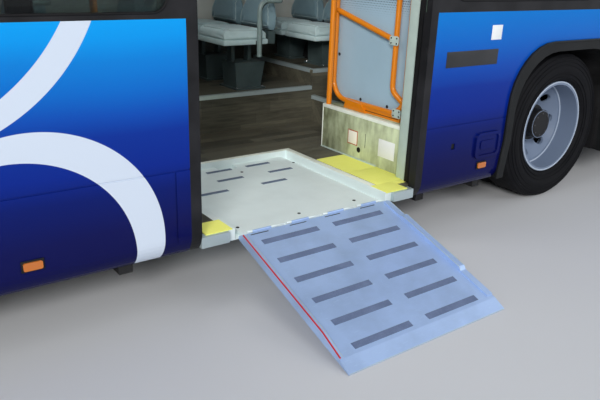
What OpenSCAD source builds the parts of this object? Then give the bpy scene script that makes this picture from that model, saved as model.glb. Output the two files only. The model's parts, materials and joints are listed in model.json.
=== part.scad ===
// Low-floor airport passenger bus, left-hand doors, wheelchair ramp let down at the middle door.
// Bus frame: X forward from the rear axle, Y to the left from the centreline, Z up from the ground.
// place() moves that frame so that the origin is the bottom centre of the whole part's box.

/* [Body] */
// Front overhang, from the front axle to the front panel
front_overhang = 2230; // [2200:10:2400]
// Width over the side panels
body_w = 2485; // [2440:5:2550]
// Distance between the axles
wheelbase = 5300; // [5150:10:5600]
// Rear overhang, from the rear axle to the rear panel
rear_overhang = 2900; // [2800:10:3100]
// Bottom edge of the skirt above the ground
skirt_z = 245; // [225:5:250]
// Waist line, the top of the painted side panels
belt_z = 1225; // [1200:5:1260]
// Top of the side windows
window_top_z = 2230; // [2200:5:2260]
// Top of the roof skin on the centreline
roof_z = 2850; // [2800:10:2950]
// Thickness of the engine hatch
hatch_t = 24; // [20:1:30]
// Thickness of the lower side walls and end caps
wall_t = 50; // [44:1:56]
// Thickness of the window frames and roof
frame_t = 34; // [28:1:36]
// Lean of the sides towards the top, on each side
tumble = 30; // [20:1:36]

/* [Floor] */
// Top of the low floor
floor_z = 300; // [296:1:304]
// Thickness of the low floor
floor_t = 40; // [34:1:46]
// Top of the seat platform on the right
platform_z = 563; // [540:1:590]
// Top of the rear floor over the rear axle
rear_floor_z = 685; // [680:1:720]
// Top of the engine cover floor
engine_floor_z = 1000; // [980:5:1060]

/* [Wheels] */
// Tyre radius
tyre_r = 478.5; // [470:0.5:484]
// Tyre width
tyre_w = 275; // [255:5:285]
// Radius of the rim flange
rim_r = 298.5; // [292:0.5:304]
// Depth of the tyre's outer face inside the body side
wheel_inset = 42; // [30:1:60]
// Distance between the centre planes of a twin pair
twin_pitch = 310; // [300:1:330]
// Inner half width of the rear wheel arch
arch_half_rear = 536; // [525:1:550]
// Inner half width of the front wheel arch
arch_half_front = 610; // [600:1:630]
// Top of the wheel arch opening
arch_top_z = 985; // [975:1:1020]

/* [Middle door] */
// Rear edge of the body panels at the middle door, ahead of the rear axle
mid_door_rear = 1260; // [1240:5:1320]
// Width of the gap between the body panels
mid_door_w = 1390; // [1360:5:1440]
// Width of the black pillar that edges the doorway on each side
pillar_w = 50; // [40:1:60]
// Top of the doorways
door_top_z = 2200; // [2150:5:2210]
// Thickness of the door leaves
leaf_t = 34; // [28:1:36]

/* [Ramp] */
// Distance from the rear pillar of the doorway to the ramp
ramp_rear_gap = 190; // [180:1:200]
// Distance from the ramp to the front pillar of the doorway
ramp_front_gap = 188; // [180:1:200]
// Distance from the body side in to the ramp hinge
hinge_inset = 17.5; // [12:0.5:24]
// Height of the ramp hinge
hinge_z = 272; // [269:1:274]
// Distance from the hinge to the ramp's tip
ramp_l = 856; // [820:1:870]

/* [Front door] */
// Front jamb of the front door, behind the front panel
front_door_setback = 450; // [450:5:480]
// Distance from the front wheel arch opening to the front doorway
front_door_gap = 170; // [150:5:200]

/* [Hidden] */

// Clearance of a face that only seats on its neighbour, and of a panel that moves in its frame
seat_gap = 0.3;
panel_gap = 6;
// Running clearance on a shaft's radius
run_gap = 0.05;
half_w = body_w / 2;
x_front = wheelbase + front_overhang;
x_rear = -rear_overhang;
mid_door_front = mid_door_rear + mid_door_w;
cap_front_l = 420;
cap_rear_l = 150;
side_x1 = x_front - cap_front_l;
side_x0 = x_rear + cap_rear_l;
axle_z = tyre_r;
inner_y = half_w - wall_t;
cant_z = window_top_z + 170;
roof_r = 230;
roof_crown = 36;
tuck_r = 120;
tuck_h = 85;
blue = "royalblue";
black = "dimgray";

// Body outlines
function arc(c, r, a0, a1, n = 8) = [for (i = [0:n]) let (a = a0 + (a1 - a0) * i / n) c + r * [cos(a), sin(a)]];
function rrect(x0, y0, x1, y1, r, n = 5) = concat(arc([x1 - r, y0 + r], r, -90, 0, n),
    arc([x1 - r, y1 - r], r, 0, 90, n), arc([x0 + r, y1 - r], r, 90, 180, n),
    arc([x0 + r, y0 + r], r, 180, 270, n));
function mirrored(p) = concat(p, [for (i = [len(p) - 1:-1:0]) [-p[i][0], p[i][1]]]);
function side_y(z) = z <= belt_z ? half_w : half_w - tumble * (z - belt_z) / (cant_z - belt_z);
roof_c = [half_w - tumble - roof_r, roof_z - roof_crown - roof_r];
function tuck(t) = arc([half_w - tuck_r, skirt_z + tuck_h], tuck_r, -asin(tuck_h / tuck_r), 0, 5);
function roof_line(t) = concat(arc(roof_c, roof_r - t, 0, 86, 9),
    [[roof_c[0] * 0.55, roof_z - t - roof_crown * 0.28], [0, roof_z - t]]);
// Cross-section (y, z) of the body, set in by t; the inner one is open below
function section(t) = mirrored(concat(t > 0 ? [[half_w - t, skirt_z - 60]] : tuck(0),
    [[half_w - t, belt_z]], roof_line(t)));
// Side outline (x, z): the rounding of the bottom and of the roof at both ends
function profile(t) = concat(
    [[x_rear + t + 30, skirt_z - (t > 0 ? 60 : 0)], [x_front - t - 45, skirt_z - (t > 0 ? 60 : 0)],
     [x_front - t - 10, skirt_z + 140], [x_front - t, skirt_z + 330]],
    arc([x_front - 190, roof_z - roof_crown - 160], 190 - t, 0, 84, 8),
    arc([x_rear + 130, roof_z - roof_crown - 100], 130 - t, 96, 180, 6),
    [[x_rear + t, skirt_z + 90]]);
// Plan (x, y): bowed front with round corners, nearly flat rear
bow = 62;
front_r = 300;
rear_r = 110;
function plan_half(t) = concat(
    [[x_rear + t, 0]],
    arc([x_rear + rear_r + 8, half_w - rear_r], rear_r - t, 172, 90, 6),
    arc([x_front - bow - front_r, half_w - front_r], front_r - t, 90, 8, 9),
    [[x_front - t - bow * 0.5, (half_w - front_r) * 0.72], [x_front - t - bow * 0.12, (half_w - front_r) * 0.36]]);
function plan(t) = let (p = plan_half(t)) concat(p, [[x_front - t, 0]],
    [for (i = [len(p) - 1:-1:1]) [p[i][0], -p[i][1]]]);

// Outline (x, z) of a wheel arch about its axle
function arch(half, grow, r = 350, n = 8) = let (h = half + grow, top = arch_top_z + grow) concat(
    [[h + 38, skirt_z - 70], [h, axle_z]], arc([h - r, top - r], r, 0, 90, n),
    arc([r - h, top - r], r, 90, 180, n), [[-h, axle_z], [-h - 38, skirt_z - 70]]);

module along_x(x0, x1) translate([x0, 0, 0]) rotate([90, 0, 90]) linear_extrude(x1 - x0) children();
module along_y(y0, y1) translate([0, y1, 0]) rotate([90, 0, 0]) linear_extrude(y1 - y0) children();
module box(x0, x1, y0, y1, z0, z1) translate([x0, y0, z0]) cube([x1 - x0, y1 - y0, z1 - z0]);
module side(s) mirror([0, s < 0 ? 1 : 0, 0]) children();
module rod(p, q, r) {
    d = q - p;
    translate(p) rotate([0, acos(d[2] / norm(d)), atan2(d[1], d[0])]) cylinder(h = norm(d), r = r, $fn = 32);
}
module body_solid(t) intersection() {
    along_x(x_rear - 10, x_front + 10) polygon(section(t));
    along_y(-half_w - 10, half_w + 10) polygon(profile(t));
    translate([0, 0, skirt_z - 100]) linear_extrude(roof_z) polygon(plan(t));
}
// Part of an end cap's shell: walls t thick between the planes given
module shell(x0, x1, z0, z1, t0, t1) difference() {
    intersection() {
        body_solid(t0);
        box(x0, x1, -half_w - 20, half_w + 20, z0, z1);
    }
    body_solid(t1);
}
$fn = 48;

// Doorways
door_x1 = mid_door_front - pillar_w;
door_x0 = mid_door_rear + pillar_w;
front_door_x1 = x_front - front_door_setback;
front_door_x0 = wheelbase + arch_half_front + front_door_gap;
front_door_w = front_door_x1 - front_door_x0;

// Side windows, columns: side, rear edge x, front edge x, bottom z
windows = [
    [1, -2620, -1560, belt_z + 54], [1, -1480, -180, belt_z + 54], [1, -100, door_x0 - 170, belt_z + 54],
    [1, mid_door_front + 71, mid_door_front + 860, belt_z + 20],
    [1, mid_door_front + 930, wheelbase - 800, belt_z + 20],
    [1, wheelbase - 720, front_door_x0 - 80, belt_z + 20],
    [-1, -2620, -1560, belt_z + 54], [-1, -1480, -180, belt_z + 54], [-1, -100, 1180, belt_z + 54],
    [-1, 1260, 2540, belt_z + 54], [-1, 2620, 3900, belt_z + 54], [-1, 3980, wheelbase - 60, belt_z + 54],
    [-1, wheelbase + 20, wheelbase + 860, belt_z + 54], [-1, wheelbase + 940, side_x1 - 90, belt_z - 0 + 20]];
window_r = 60;
glass_t = 8;
function of_side(s) = [for (w = windows) if (w[0] == s) w];

module doorway_cuts(s) if (s > 0) {
    box(door_x0 - pillar_w, mid_door_front, 0, half_w + 60, skirt_z - 80, belt_z + 1);
    box(front_door_x0, front_door_x1, 0, half_w + 60, skirt_z - 80, belt_z + 1);
}
trim_w = 46;
module arch_cut(x, half, grow) translate([x, 0, 0]) along_y(0, half_w + 80) polygon(arch(half, grow));

// Panel seams of the sides: horizontal line, then verticals at these x
seam_z = 622;
seam_w = 7;
seam_d = 4;
seam_xs = [[1, -2000], [1, -900], [1, mid_door_front + 62], [1, 3600], [1, 4560], [-1, -2000], [-1, -900],
    [-1, 900], [-1, 1900], [-1, 2900], [-1, 3900], [-1, 4560], [-1, 6040]];
module seam_cuts(s) {
    box(side_x0 - 1, side_x1 + 1, half_w - seam_d, half_w + 5, seam_z, seam_z + seam_w);
    for (v = seam_xs) if (v[0] == s) box(v[1], v[1] + seam_w, half_w - seam_d, half_w + 5, skirt_z - 5, seam_z);
}
// Square key hole of the service flap behind the middle door
flap_x = mid_door_rear - 226;
flap_z = 501;
module side_panel(s) color(blue) side(s) difference() {
    along_x(side_x0, side_x1) polygon(concat(tuck(0), [[half_w, belt_z], [inner_y, belt_z], [inner_y, skirt_z]]));
    doorway_cuts(s);
    arch_cut(0, arch_half_rear, trim_w);
    arch_cut(wheelbase, arch_half_front, trim_w);
    seam_cuts(s);
    if (s > 0) box(flap_x - 15, flap_x + 15, half_w - 12, half_w + 5, flap_z - 17, flap_z + 17);
    // Louvres of the engine bay, each sloping down towards the outside
    for (i = [0:louvre_n - 1]) along_x(side_x0 + 130, side_x0 + 730) louvre(louvre_z + louvre_pitch * i);
}
louvre_n = 9;
louvre_z = 690;
louvre_pitch = 46;
module louvre(z) polygon([[inner_y - 5, z + 30], [half_w + 5, z], [half_w + 5, z + 24], [inner_y - 5, z + 54]]);
// Raised housing ahead of the rear wheel, a latch plate in a rounded frame
housing_x = arch_half_rear + 206;
module housing() difference() {
    along_y(half_w - 10, half_w + 14) polygon(rrect(housing_x - 108, 400, housing_x + 108, 553, 34));
    along_y(half_w + 5, half_w + 20) polygon(rrect(housing_x - 88, 418, housing_x + 88, 535, 24));
}
module housing_latch() along_y(half_w - 1, half_w + 11) polygon(rrect(housing_x - 62, 452, housing_x + 62, 505, 14));
module side_left() color(blue) {
    side_panel(1);
    housing();
    housing_latch();
    jamb_eyes(eye_heights[0]);
}
module side_right() side_panel(-1);

// Window frames above the waist line
module frame_run(x0, x1) along_x(x0, x1) polygon([[half_w, belt_z], [side_y(cant_z), cant_z],
    [side_y(cant_z) - frame_t, cant_z], [half_w - frame_t, belt_z]]);
module frame_side(s, runs) color(black) side(s) difference() {
    for (r = runs) frame_run(r[0], r[1]);
    for (w = of_side(s)) along_y(half_w - 100, half_w + 60) polygon(rrect(w[1], w[3], w[2], window_top_z, window_r));
}
// Headers over the doorways
module door_headers() color(black) for (d = [[door_x0, door_x1], [front_door_x0, front_door_x1]]) intersection() {
    frame_run(d[0] + seat_gap, d[1] - seat_gap);
    box(d[0], d[1], 0, half_w + 60, door_top_z, cant_z);
}
// Black pillars that edge the middle doorway below the waist line
module door_pillars() color(black) for (x = [door_x0 - pillar_w, door_x1])
    intersection() {
        along_x(x, x + pillar_w) polygon(concat(tuck(0), [[half_w, belt_z], [inner_y, belt_z], [inner_y, skirt_z]]));
        box(x, x + pillar_w, 0, half_w + 60, 0, belt_z);
    }
module window_frames() {
    frame_side(1, [[side_x0, door_x0], [door_x1, front_door_x0], [front_door_x1, side_x1]]);
    frame_side(-1, [[side_x0, side_x1]]);
    door_headers();
    color(black) jamb_eyes(eye_heights[1]);
    door_pillars();
}

// Side glass lies just inside the outer face of its frame
module glass_side(s) color([0.2, 0.25, 0.28, 0.5]) side(s) for (w = of_side(s)) intersection() {
    along_x(w[1] - 10, w[2] + 10) polygon([for (p = [[4, belt_z], [4, cant_z], [4 + glass_t, cant_z], [4 + glass_t, belt_z]])
        [side_y(p[1]) - p[0], p[1]]]);
    along_y(half_w - 100, half_w + 60) polygon(rrect(w[1] + seat_gap, w[3] + seat_gap, w[2] - seat_gap,
        window_top_z - seat_gap, window_r - seat_gap));
}
module windows_glazed() {
    glass_side(1);
    glass_side(-1);
    rear_pane();
}

module roof() color(blue) difference() {
    along_x(side_x0, side_x1) polygon(section(0));
    along_x(side_x0 - 1, side_x1 + 1) polygon(section(frame_t));
    box(side_x0 - 1, side_x1 + 1, -half_w - 50, half_w + 50, 0, cant_z);
}

// Front cap
screen_y = half_w - 122.5;
screen = [-screen_y, belt_z - 45, screen_y, window_top_z + 410]; // y0, z0, y1, z1 of the windscreen opening
bumper_z = 560;
headlamp = [half_w - 480, 640, half_w - 72, 850]; // y0, z0, y1, z1 of a lamp cluster
module lamp_box(b, x0, x1, g = 0) for (s = [1, -1]) side(s) box(x0, x1, b[0] + g, b[2] - g, b[1] + g, b[3] - g);
module front_panel() color(blue) difference() {
    shell(side_x1, x_front + 20, bumper_z, roof_z + 20, 0, wall_t);
    along_x(side_x1 - 1, x_front + 20) polygon(rrect(screen[0], screen[1], screen[2], screen[3], 110));
    lamp_box(headlamp, side_x1 - 1, x_front + 20);
    // Air slots between the lamps
    for (i = [0:3]) along_x(x_front - 90, x_front + 20) polygon(rrect(-slot_y, 650 + 48 * i, slot_y, 674 + 48 * i, 11));
}
slot_y = half_w - 620;
fog_y = half_w - 300;
fog_z = 420;
fog_r = 58;
// Screw-in tow eye sockets behind round holes in both bumpers
tow_r = 15;
tow_y = 620;
tow_z = 360;
module bumper_front() color(blue) difference() {
    shell(side_x1, x_front + 20, 0, bumper_z, 0, wall_t);
    translate([x_front - 200, tow_y, tow_z]) rotate([0, 90, 0]) cylinder(h = 300, r = tow_r + 12);
    for (s = [1, -1]) translate([x_front - 300, s * fog_y, fog_z]) rotate([0, 90, 0]) cylinder(h = 400, r = fog_r);
    // Shallow recess for the blank number plate and the lower air intake
    along_x(x_front - 6, x_front + 20) polygon(rrect(-225, 405, 225, 525, 8));
    for (i = [0:2]) along_x(x_front - 90, x_front + 20) polygon(rrect(-420, 285 + 38 * i, 420, 305 + 38 * i, 9));
}
module windscreen() color([0.3, 0.36, 0.4, 0.4]) intersection() {
    shell(side_x1 + 1, x_front + 20, bumper_z, roof_z, 5, 5 + glass_t);
    along_x(side_x1, x_front + 20) polygon(rrect(screen[0] + seat_gap, screen[1] + seat_gap,
        screen[2] - seat_gap, screen[3] - seat_gap, 110));
}
module lamps_front() color("white") intersection() {
    shell(side_x1 + 1, x_front + 20, 0, roof_z, 3, wall_t - 4);
    union() {
        lamp_box(headlamp, side_x1, x_front + 20, seat_gap);
        for (s = [1, -1]) translate([x_front - 300, s * fog_y, fog_z]) rotate([0, 90, 0])
            cylinder(h = 400, r = fog_r - seat_gap);
    }
}

// Rear cap, with the engine hatch and the rear window cut out
hatch_y = half_w - 362.5;
hatch = [-hatch_y, 560, hatch_y, 1260]; // y0, z0, y1, z1
rear_window = [-hatch_y - 20, 1420, hatch_y + 20, window_top_z - 30];
tail = [half_w - 277, 640, half_w - 132, 1150];
bumper_rear_z = 480;
module rear_panel() color(blue) {
    hatch_eyes();
    rear_shell();
}
module rear_shell() difference() {
    shell(x_rear - 20, side_x0, bumper_rear_z, roof_z + 20, 0, wall_t);
    box(x_rear - 20, x_rear + 100, hatch[0], hatch[2], hatch[1], hatch[3]);
    along_x(x_rear - 20, x_rear + 100) polygon(rrect(rear_window[0], rear_window[1], rear_window[2], rear_window[3], 90));
    lamp_box(tail, x_rear - 20, x_rear + 100);
}
module bumper_rear() color(black) difference() {
    shell(x_rear - 20, side_x0, 0, bumper_rear_z, 0, wall_t);
    translate([x_rear - 30, -tow_y, tow_z]) rotate([0, 90, 0]) cylinder(h = 200, r = tow_r + 12);
}
module rear_pane() color([0.2, 0.25, 0.28, 0.5]) intersection() {
    shell(x_rear - 20, x_rear + 100, bumper_rear_z, roof_z, 5, 5 + glass_t);
    along_x(x_rear - 20, x_rear + 100) polygon(rrect(rear_window[0] + seat_gap, rear_window[1] + seat_gap,
        rear_window[2] - seat_gap, rear_window[3] - seat_gap, 90));
}
module lamps_rear() color("red") intersection() {
    shell(x_rear - 20, x_rear + 100, bumper_rear_z, roof_z, 3, wall_t - 4);
    lamp_box(tail, x_rear - 20, x_rear + 100, seat_gap);
}
// The hatch turns about its outer top edge; short hinge barrels lie between those of the panel
hatch_axis = [x_rear - 9, hatch[3] + 3];
hatch_hinges = [-600, 0, 600];
barrel_r = 8;
module engine_hatch() color(blue) {
    difference() {
        shell(x_rear - 20, x_rear + 100, hatch[1] + panel_gap, hatch[3] - panel_gap, 0, hatch_t);
        box(x_rear - 30, x_rear + 110, hatch[2] - panel_gap, half_w + 50, 0, roof_z);
        box(x_rear - 30, x_rear + 110, -half_w - 50, hatch[0] + panel_gap, 0, roof_z);
        for (i = [0:5]) for (s = [1, -1]) side(s)
            box(x_rear - 20, x_rear + hatch_t + 10, 180, hatch_y - 120, 700 + 60 * i, 725 + 60 * i);
    }
    for (y = hatch_hinges) {
        translate([hatch_axis[0], y - 40, hatch_axis[1]]) rotate([-90, 0, 0]) cylinder(h = 80, r = barrel_r, $fn = 32);
        box(hatch_axis[0] - 2, x_rear - 1, y - 40, y + 40, hatch[3] - panel_gap - 50, hatch_axis[1]);
        box(x_rear - 2, x_rear + 14, y - 40, y + 40, hatch[3] - panel_gap - 50, hatch[3] - panel_gap);
    }
}
module hatch_eyes() for (y = hatch_hinges) for (s = [-1, 1])
    translate([hatch_axis[0], y + s * 60 - 20 + s * seat_gap, hatch_axis[1]]) {
        rotate([-90, 0, 0]) cylinder(h = 40, r = barrel_r, $fn = 32);
        translate([-2, 0, 0]) cube([26, 40, 40]);
    }

// Wheel arches: black trims outside, pressed wheel houses inside
module trim(x, half) translate([x, 0, 0]) difference() {
    union() {
        along_y(inner_y, half_w + 12) polygon(arch(half, trim_w - seat_gap));
        along_y(half_w + seat_gap, half_w + 16) polygon(arch(half, trim_w + 12));
    }
    along_y(inner_y - 1, half_w + 30) polygon(arch(half, 0));
    box(-2000, 2000, 0, half_w + 100, 0, skirt_z + 2);
}
module arch_trims() color(black) for (s = [1, -1]) side(s) {
    trim(0, arch_half_rear);
    trim(wheelbase, arch_half_front);
}
house_t = 8;
wheel_y = half_w - wheel_inset - tyre_w / 2;
// Inner faces: past the inner twin tyre, and past the tyre on full lock
house_rear_y = wheel_y - twin_pitch - tyre_w / 2 - 40.5;
house_front_y = wheel_y - 551;
module house(x, half, y0) translate([x, 0, 0]) difference() {
    along_y(y0, inner_y - seat_gap) polygon(arch(half, 2 + house_t));
    along_y(y0 + house_t, inner_y + 1) polygon(arch(half, 2));
    box(-2000, 2000, 0, half_w, 0, skirt_z + 5);
    if (x == 0) box(-130, 130, 0, half_w - 200, 0, axle_z + 130);
}
module wheel_houses() color(black) for (s = [1, -1]) side(s) {
    house(0, arch_half_rear, house_rear_y);
    house(wheelbase, arch_half_front, house_front_y);
}
// Room kept free for the wheel houses in floors and platforms
module house_room(x, half, y0) for (s = [1, -1]) side(s) translate([x, 0, 0]) {
    along_y(y0 - seat_gap, half_w) polygon(arch(half, 2 + house_t + seat_gap));
    box(-half - 39, half + 39, y0 - seat_gap, half_w, 0, skirt_z + 70);
}
module house_rooms() {
    house_room(0, arch_half_rear, house_rear_y);
    house_room(wheelbase, arch_half_front, house_front_y);
}

// Ramp tray in the floor of the middle doorway
hinge_y = half_w - hinge_inset;
ramp_x0 = door_x0 + ramp_rear_gap;
ramp_x1 = door_x1 - ramp_front_gap;
ramp_w = ramp_x1 - ramp_x0;
tray_x0 = ramp_x0 - 48;
tray_x1 = ramp_x1 + 48;
tray_y0 = hinge_y - ramp_l - 128;
// Side rails of the ramp: widths at the rear and at the front, and height
flange_rear_t = 36;
flange_front_t = 20;
flange_h = 20;
tray_z = hinge_z - 5;
gutter_z = hinge_z - flange_h - 6;
hinge_len = 100;
barrel_ramp = 5.5;
pin_r = 2.5;
// Middles of the hinge barrels along the ramp's edge
hinge_xs = [for (i = [0:3]) ramp_x0 + ramp_w * (0.14 + 0.24 * i)];
module ramp_tray() color("silver") {
    difference() {
        box(tray_x0 + seat_gap, tray_x1 - seat_gap, tray_y0 + seat_gap, hinge_y - 14, gutter_z - 4, floor_z);
        box(ramp_x0 - 6, ramp_x1 + 6, tray_y0 + 34, hinge_y, tray_z, floor_z + 5);
        for (g = [[ramp_x0 - 6, ramp_x0 + flange_rear_t + 6], [ramp_x1 - flange_front_t - 6, ramp_x1 + 6]])
            box(g[0], g[1], tray_y0 + 34, hinge_y, gutter_z, tray_z + 1);
        // Well for the lip, and finger recess to lift it
        box((ramp_x0 + ramp_x1) / 2 - 60, (ramp_x0 + ramp_x1) / 2 + 60, tray_y0 + 34, tray_y0 + 110, gutter_z, floor_z);
    }
    // Hinge eyes with their pins
    for (x = hinge_xs) for (s = [-1, 1]) translate([x + s * (hinge_len / 2 + 16), 0, 0]) {
        translate([-14, hinge_y, hinge_z]) rotate([0, 90, 0]) cylinder(h = 28, r = barrel_ramp, $fn = 32);
        translate([-14, hinge_y - 15, gutter_z - 4]) cube([28, 15, hinge_z - gutter_z]);
    }
    for (x = hinge_xs) translate([x - hinge_len / 2 - 10, hinge_y, hinge_z]) rotate([0, 90, 0])
        cylinder(h = hinge_len + 20, r = pin_r, $fn = 32);
}

// Floors
box_z = 584; // top of the box behind the middle door
box_x1 = mid_door_rear - 34;
aisle_y = 866.5 - inner_y; // edge of the raised floor on the right
step_x = 600;
second_x = 855;
module floor() color("tan") difference() {
    box(step_x, side_x1, -inner_y + seat_gap, inner_y - seat_gap, floor_z - floor_t, floor_z);
    house_rooms();
    box(tray_x0, tray_x1, tray_y0, half_w, 0, floor_z + 50);
}
module seat_platforms() color("tan") {
    // Seat platform along the right side, then the second level
    difference() {
        union() {
            box(second_x, wheelbase - 760, -inner_y + 1, aisle_y, floor_z + seat_gap, platform_z);
            box(step_x, second_x - seat_gap, -inner_y + 1, aisle_y, floor_z + seat_gap, rear_floor_z);
        }
        house_rooms();
    }
    // Driver's platform
    difference() {
        box(wheelbase + 700, side_x1 - 20, -inner_y + 1, driver_y + 440, floor_z + seat_gap, driver_z);
        house_rooms();
    }
    // Step in the aisle and the box behind the middle door
    box(step_x, second_x, aisle_y + 1, 299, floor_z + seat_gap, (floor_z + rear_floor_z) / 2);
    box(step_x, box_x1, 300, leaf_y0 - 16, floor_z + seat_gap, box_z);
    box(step_x, second_x, 300, leaf_y0 - 16, box_z + seat_gap, rear_floor_z);
    // Rear floor and engine cover
    difference() {
        box(-900, step_x - seat_gap, -inner_y + 1, inner_y - 1, rear_floor_z - 40, rear_floor_z);
        house_rooms();
    }
    difference() {
        box(side_x0 + 1, -900, -inner_y + 1, inner_y - 1, engine_floor_z - 40, engine_floor_z);
        house_rooms();
    }
    difference() {
        box(-900, -860, -inner_y + 1, inner_y - 1, rear_floor_z + seat_gap, engine_floor_z);
        house_rooms();
    }
}
module sill_edges() color("silver") {
    for (e = [[door_x0 + seat_gap, tray_x0 - seat_gap], [tray_x1 + seat_gap, door_x1 - seat_gap]])
        box(e[0], e[1], inner_y, half_w - 6, skirt_z + 4, floor_z);
    box(front_door_x0 + seat_gap, front_door_x1 - seat_gap, inner_y, half_w - 6, skirt_z + 4, floor_z);
    // Metal nosings along the edges of the raised floors, columns: x0, x1, height
    for (n = [[second_x, wheelbase - 760, platform_z], [step_x, second_x - 4, rear_floor_z]])
        along_x(n[0] + seat_gap, n[1] - seat_gap) translate([aisle_y, n[2]]) nosing_line();
    along_y(-inner_y + 30, aisle_y - 31) translate([second_x - seat_gap, rear_floor_z]) nosing_line();
    along_y(aisle_y + 4, 296) translate([second_x, (floor_z + rear_floor_z) / 2]) nosing_line();
}
nosing_t = 3;
function nosing_profile(w) = [[-w, seat_gap], [seat_gap, seat_gap], [seat_gap, -w * 0.8], [seat_gap + nosing_t, -w * 0.8],
    [seat_gap + nosing_t, seat_gap + nosing_t], [-w, seat_gap + nosing_t]];
module nosing_line() polygon(nosing_profile(30));
module sill_treads() color("yellow") {
    // Wide mat beside the tray at the rear, then the two corners of the sill
    box(box_x1 + 3, tray_x0 - 4, 540, leaf_y0 - 300, floor_z + seat_gap, floor_z + 4);
    for (e = [[door_x0 + 30, tray_x0 + 40], [tray_x1 - 24, door_x1 - 30]])
        box(e[0], e[1], leaf_y0 - 48, half_w - 24, floor_z + seat_gap, floor_z + 4);
    box(front_door_x0 + 4, front_door_x1 - 4, inner_y - 60, half_w - 10, floor_z + seat_gap, floor_z + 4);
}

// Underframe: rails, cross members and outriggers, bolted up from separate bars
rail_y = 380;
rail_w = 80;
low_z = 190;
low_top = floor_z - floor_t - seat_gap;
high_z = 575;
high_top = rear_floor_z - 40 - seat_gap;
kick_x = step_x - 60;
engine_x0 = side_x0 + 110;
engine_l = 1290;
engine_y = 330;
axle_pad_z = 240;
member_l = 60;
low_members = [step_x + 100, mid_door_rear - 80, mid_door_front + 250, mid_door_front + 1050, wheelbase - 740,
    wheelbase + 700, side_x1 - 130];
// Columns: x, whether the bar runs on between the rails
high_members = [[side_x0 + 40, 1], [engine_x0 + 940, 0], [-880, 1]];
post_ys = [-inner_y + 92, inner_y - 132];
module bars(x, z0, z1, middle) for (r = concat([[-inner_y + seat_gap, -rail_y - rail_w / 2 - seat_gap],
    [rail_y + rail_w / 2 + seat_gap, inner_y - seat_gap]],
    middle ? [[-rail_y + rail_w / 2 + seat_gap, rail_y - rail_w / 2 - seat_gap]] : []))
    box(x, x + member_l, r[0], r[1], z0, z1);
// Socket for a screwed eye, a sleeve bored from its open end
module tow_socket(x0, x1, open_x, y) difference() {
    translate([x0, y, tow_z]) rotate([0, 90, 0]) cylinder(h = x1 - x0, r = 32);
    translate([open_x, y, tow_z]) rotate([0, 90, 0]) cylinder(h = 90, r = tow_r);
}
module tow_arms() {
    tow_socket(x_front - 230, x_front - 110, x_front - 200, tow_y);
    box(side_x1 - 130 + member_l + seat_gap, x_front - 225, tow_y - 30, tow_y + 30, 205, 255);
    box(x_front - 285, x_front - 225, tow_y - 30, tow_y + 30, 205, tow_z + 30);
    tow_socket(x_rear + wall_t + 6, x_rear + wall_t + 106, x_rear + wall_t + 6, -tow_y);
    box(x_rear + wall_t + 100, side_x0 + 40 + member_l, -tow_y - 30, -tow_y + 30, tow_z - 30, high_z - seat_gap);
}
module underframe() color(black) {
    tow_arms();
    chassis();
}
module chassis() difference() {
    union() {
        for (y = [-rail_y, rail_y]) {
            box(kick_x, side_x1 - 10, y - rail_w / 2, y + rail_w / 2, low_z, low_top);
            box(kick_x, step_x - seat_gap, y - rail_w / 2, y + rail_w / 2, low_top + seat_gap, high_z - seat_gap);
            box(side_x0 + 10, step_x - seat_gap, y - rail_w / 2, y + rail_w / 2, high_z, high_top);
        }
        for (x = low_members) bars(x, low_z + 10, low_top, true);
        for (m = high_members) bars(m[0], high_z, high_top, m[1] > 0);
        // Posts under the engine cover
        for (m = [high_members[0], high_members[1]]) for (y = post_ys)
            box(m[0], m[0] + 40, y, y + 40, high_top + seat_gap, engine_floor_z - 40 - seat_gap);
    }
    box(wheelbase - 70, wheelbase + 70, -half_w, half_w, 0, axle_pad_z + seat_gap);
    // Room for the ramp tray
    box(tray_x0 - 1, tray_x1 + 1, tray_y0 - 1, half_w, gutter_z - 4 - seat_gap, floor_z);
    house_rooms();
}
module engine() color("gray") {
    box(engine_x0, engine_x0 + engine_l, -engine_y, engine_y, 300, engine_floor_z - 70);
    // Mounting lugs between the rails
    for (x = [engine_x0 + 140, engine_x0 + engine_l - 150])
        box(x, x + 80, -rail_y + rail_w / 2 + seat_gap, rail_y - rail_w / 2 - seat_gap, 590, 630);
}

// Axles
king_y = wheel_y - 133;
king_gap = 2;
eye_r = 44;
spindle_r = 40;
module at_axle(x) translate([x, 0, axle_z]) children();
module axle_front() color(black) difference() {
    union() {
        box(wheelbase - 45, wheelbase + 45, -king_y + 140, king_y - 140, 172, 234);
        for (s = [1, -1]) side(s) {
            // Spring pad under the chassis member
            box(wheelbase - 60, wheelbase + 60, rail_y - 35, rail_y + 35, 172, axle_pad_z);
            box(wheelbase - 38, wheelbase + 38, king_y - 230, king_y - 140, 172, axle_z + 40);
            box(wheelbase - 32, wheelbase + 32, king_y - 230, king_y, axle_z - 40, axle_z + 40);
            translate([wheelbase, king_y, axle_z - 50]) cylinder(h = 100, r = eye_r);
            translate([wheelbase, king_y, axle_z - 104]) cylinder(h = 208, r = 20);
        }
    }
}
module knuckle_one() difference() {
    union() {
        for (z = [axle_z - 100, axle_z + 50 + king_gap])
            translate([wheelbase, king_y, z]) cylinder(h = 48, r = 44);
        for (z = [axle_z - 100, axle_z + 50 + king_gap])
            box(wheelbase - 44, wheelbase + 44, king_y, king_y + 70, z, z + 48);
        box(wheelbase - 60, wheelbase + 60, king_y + 52, king_y + 76, axle_z - 100, axle_z + 98 + king_gap);
        at_axle(wheelbase) rotate([-90, 0, 0]) translate([0, 0, king_y + 60]) cylinder(h = 150, r = spindle_r);
    }
    translate([wheelbase, king_y, axle_z - 110]) cylinder(h = 220, r = 20 + run_gap);
}
module knuckle_left() color("gray") knuckle_one();
module knuckle_right() color("gray") side(-1) knuckle_one();
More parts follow.
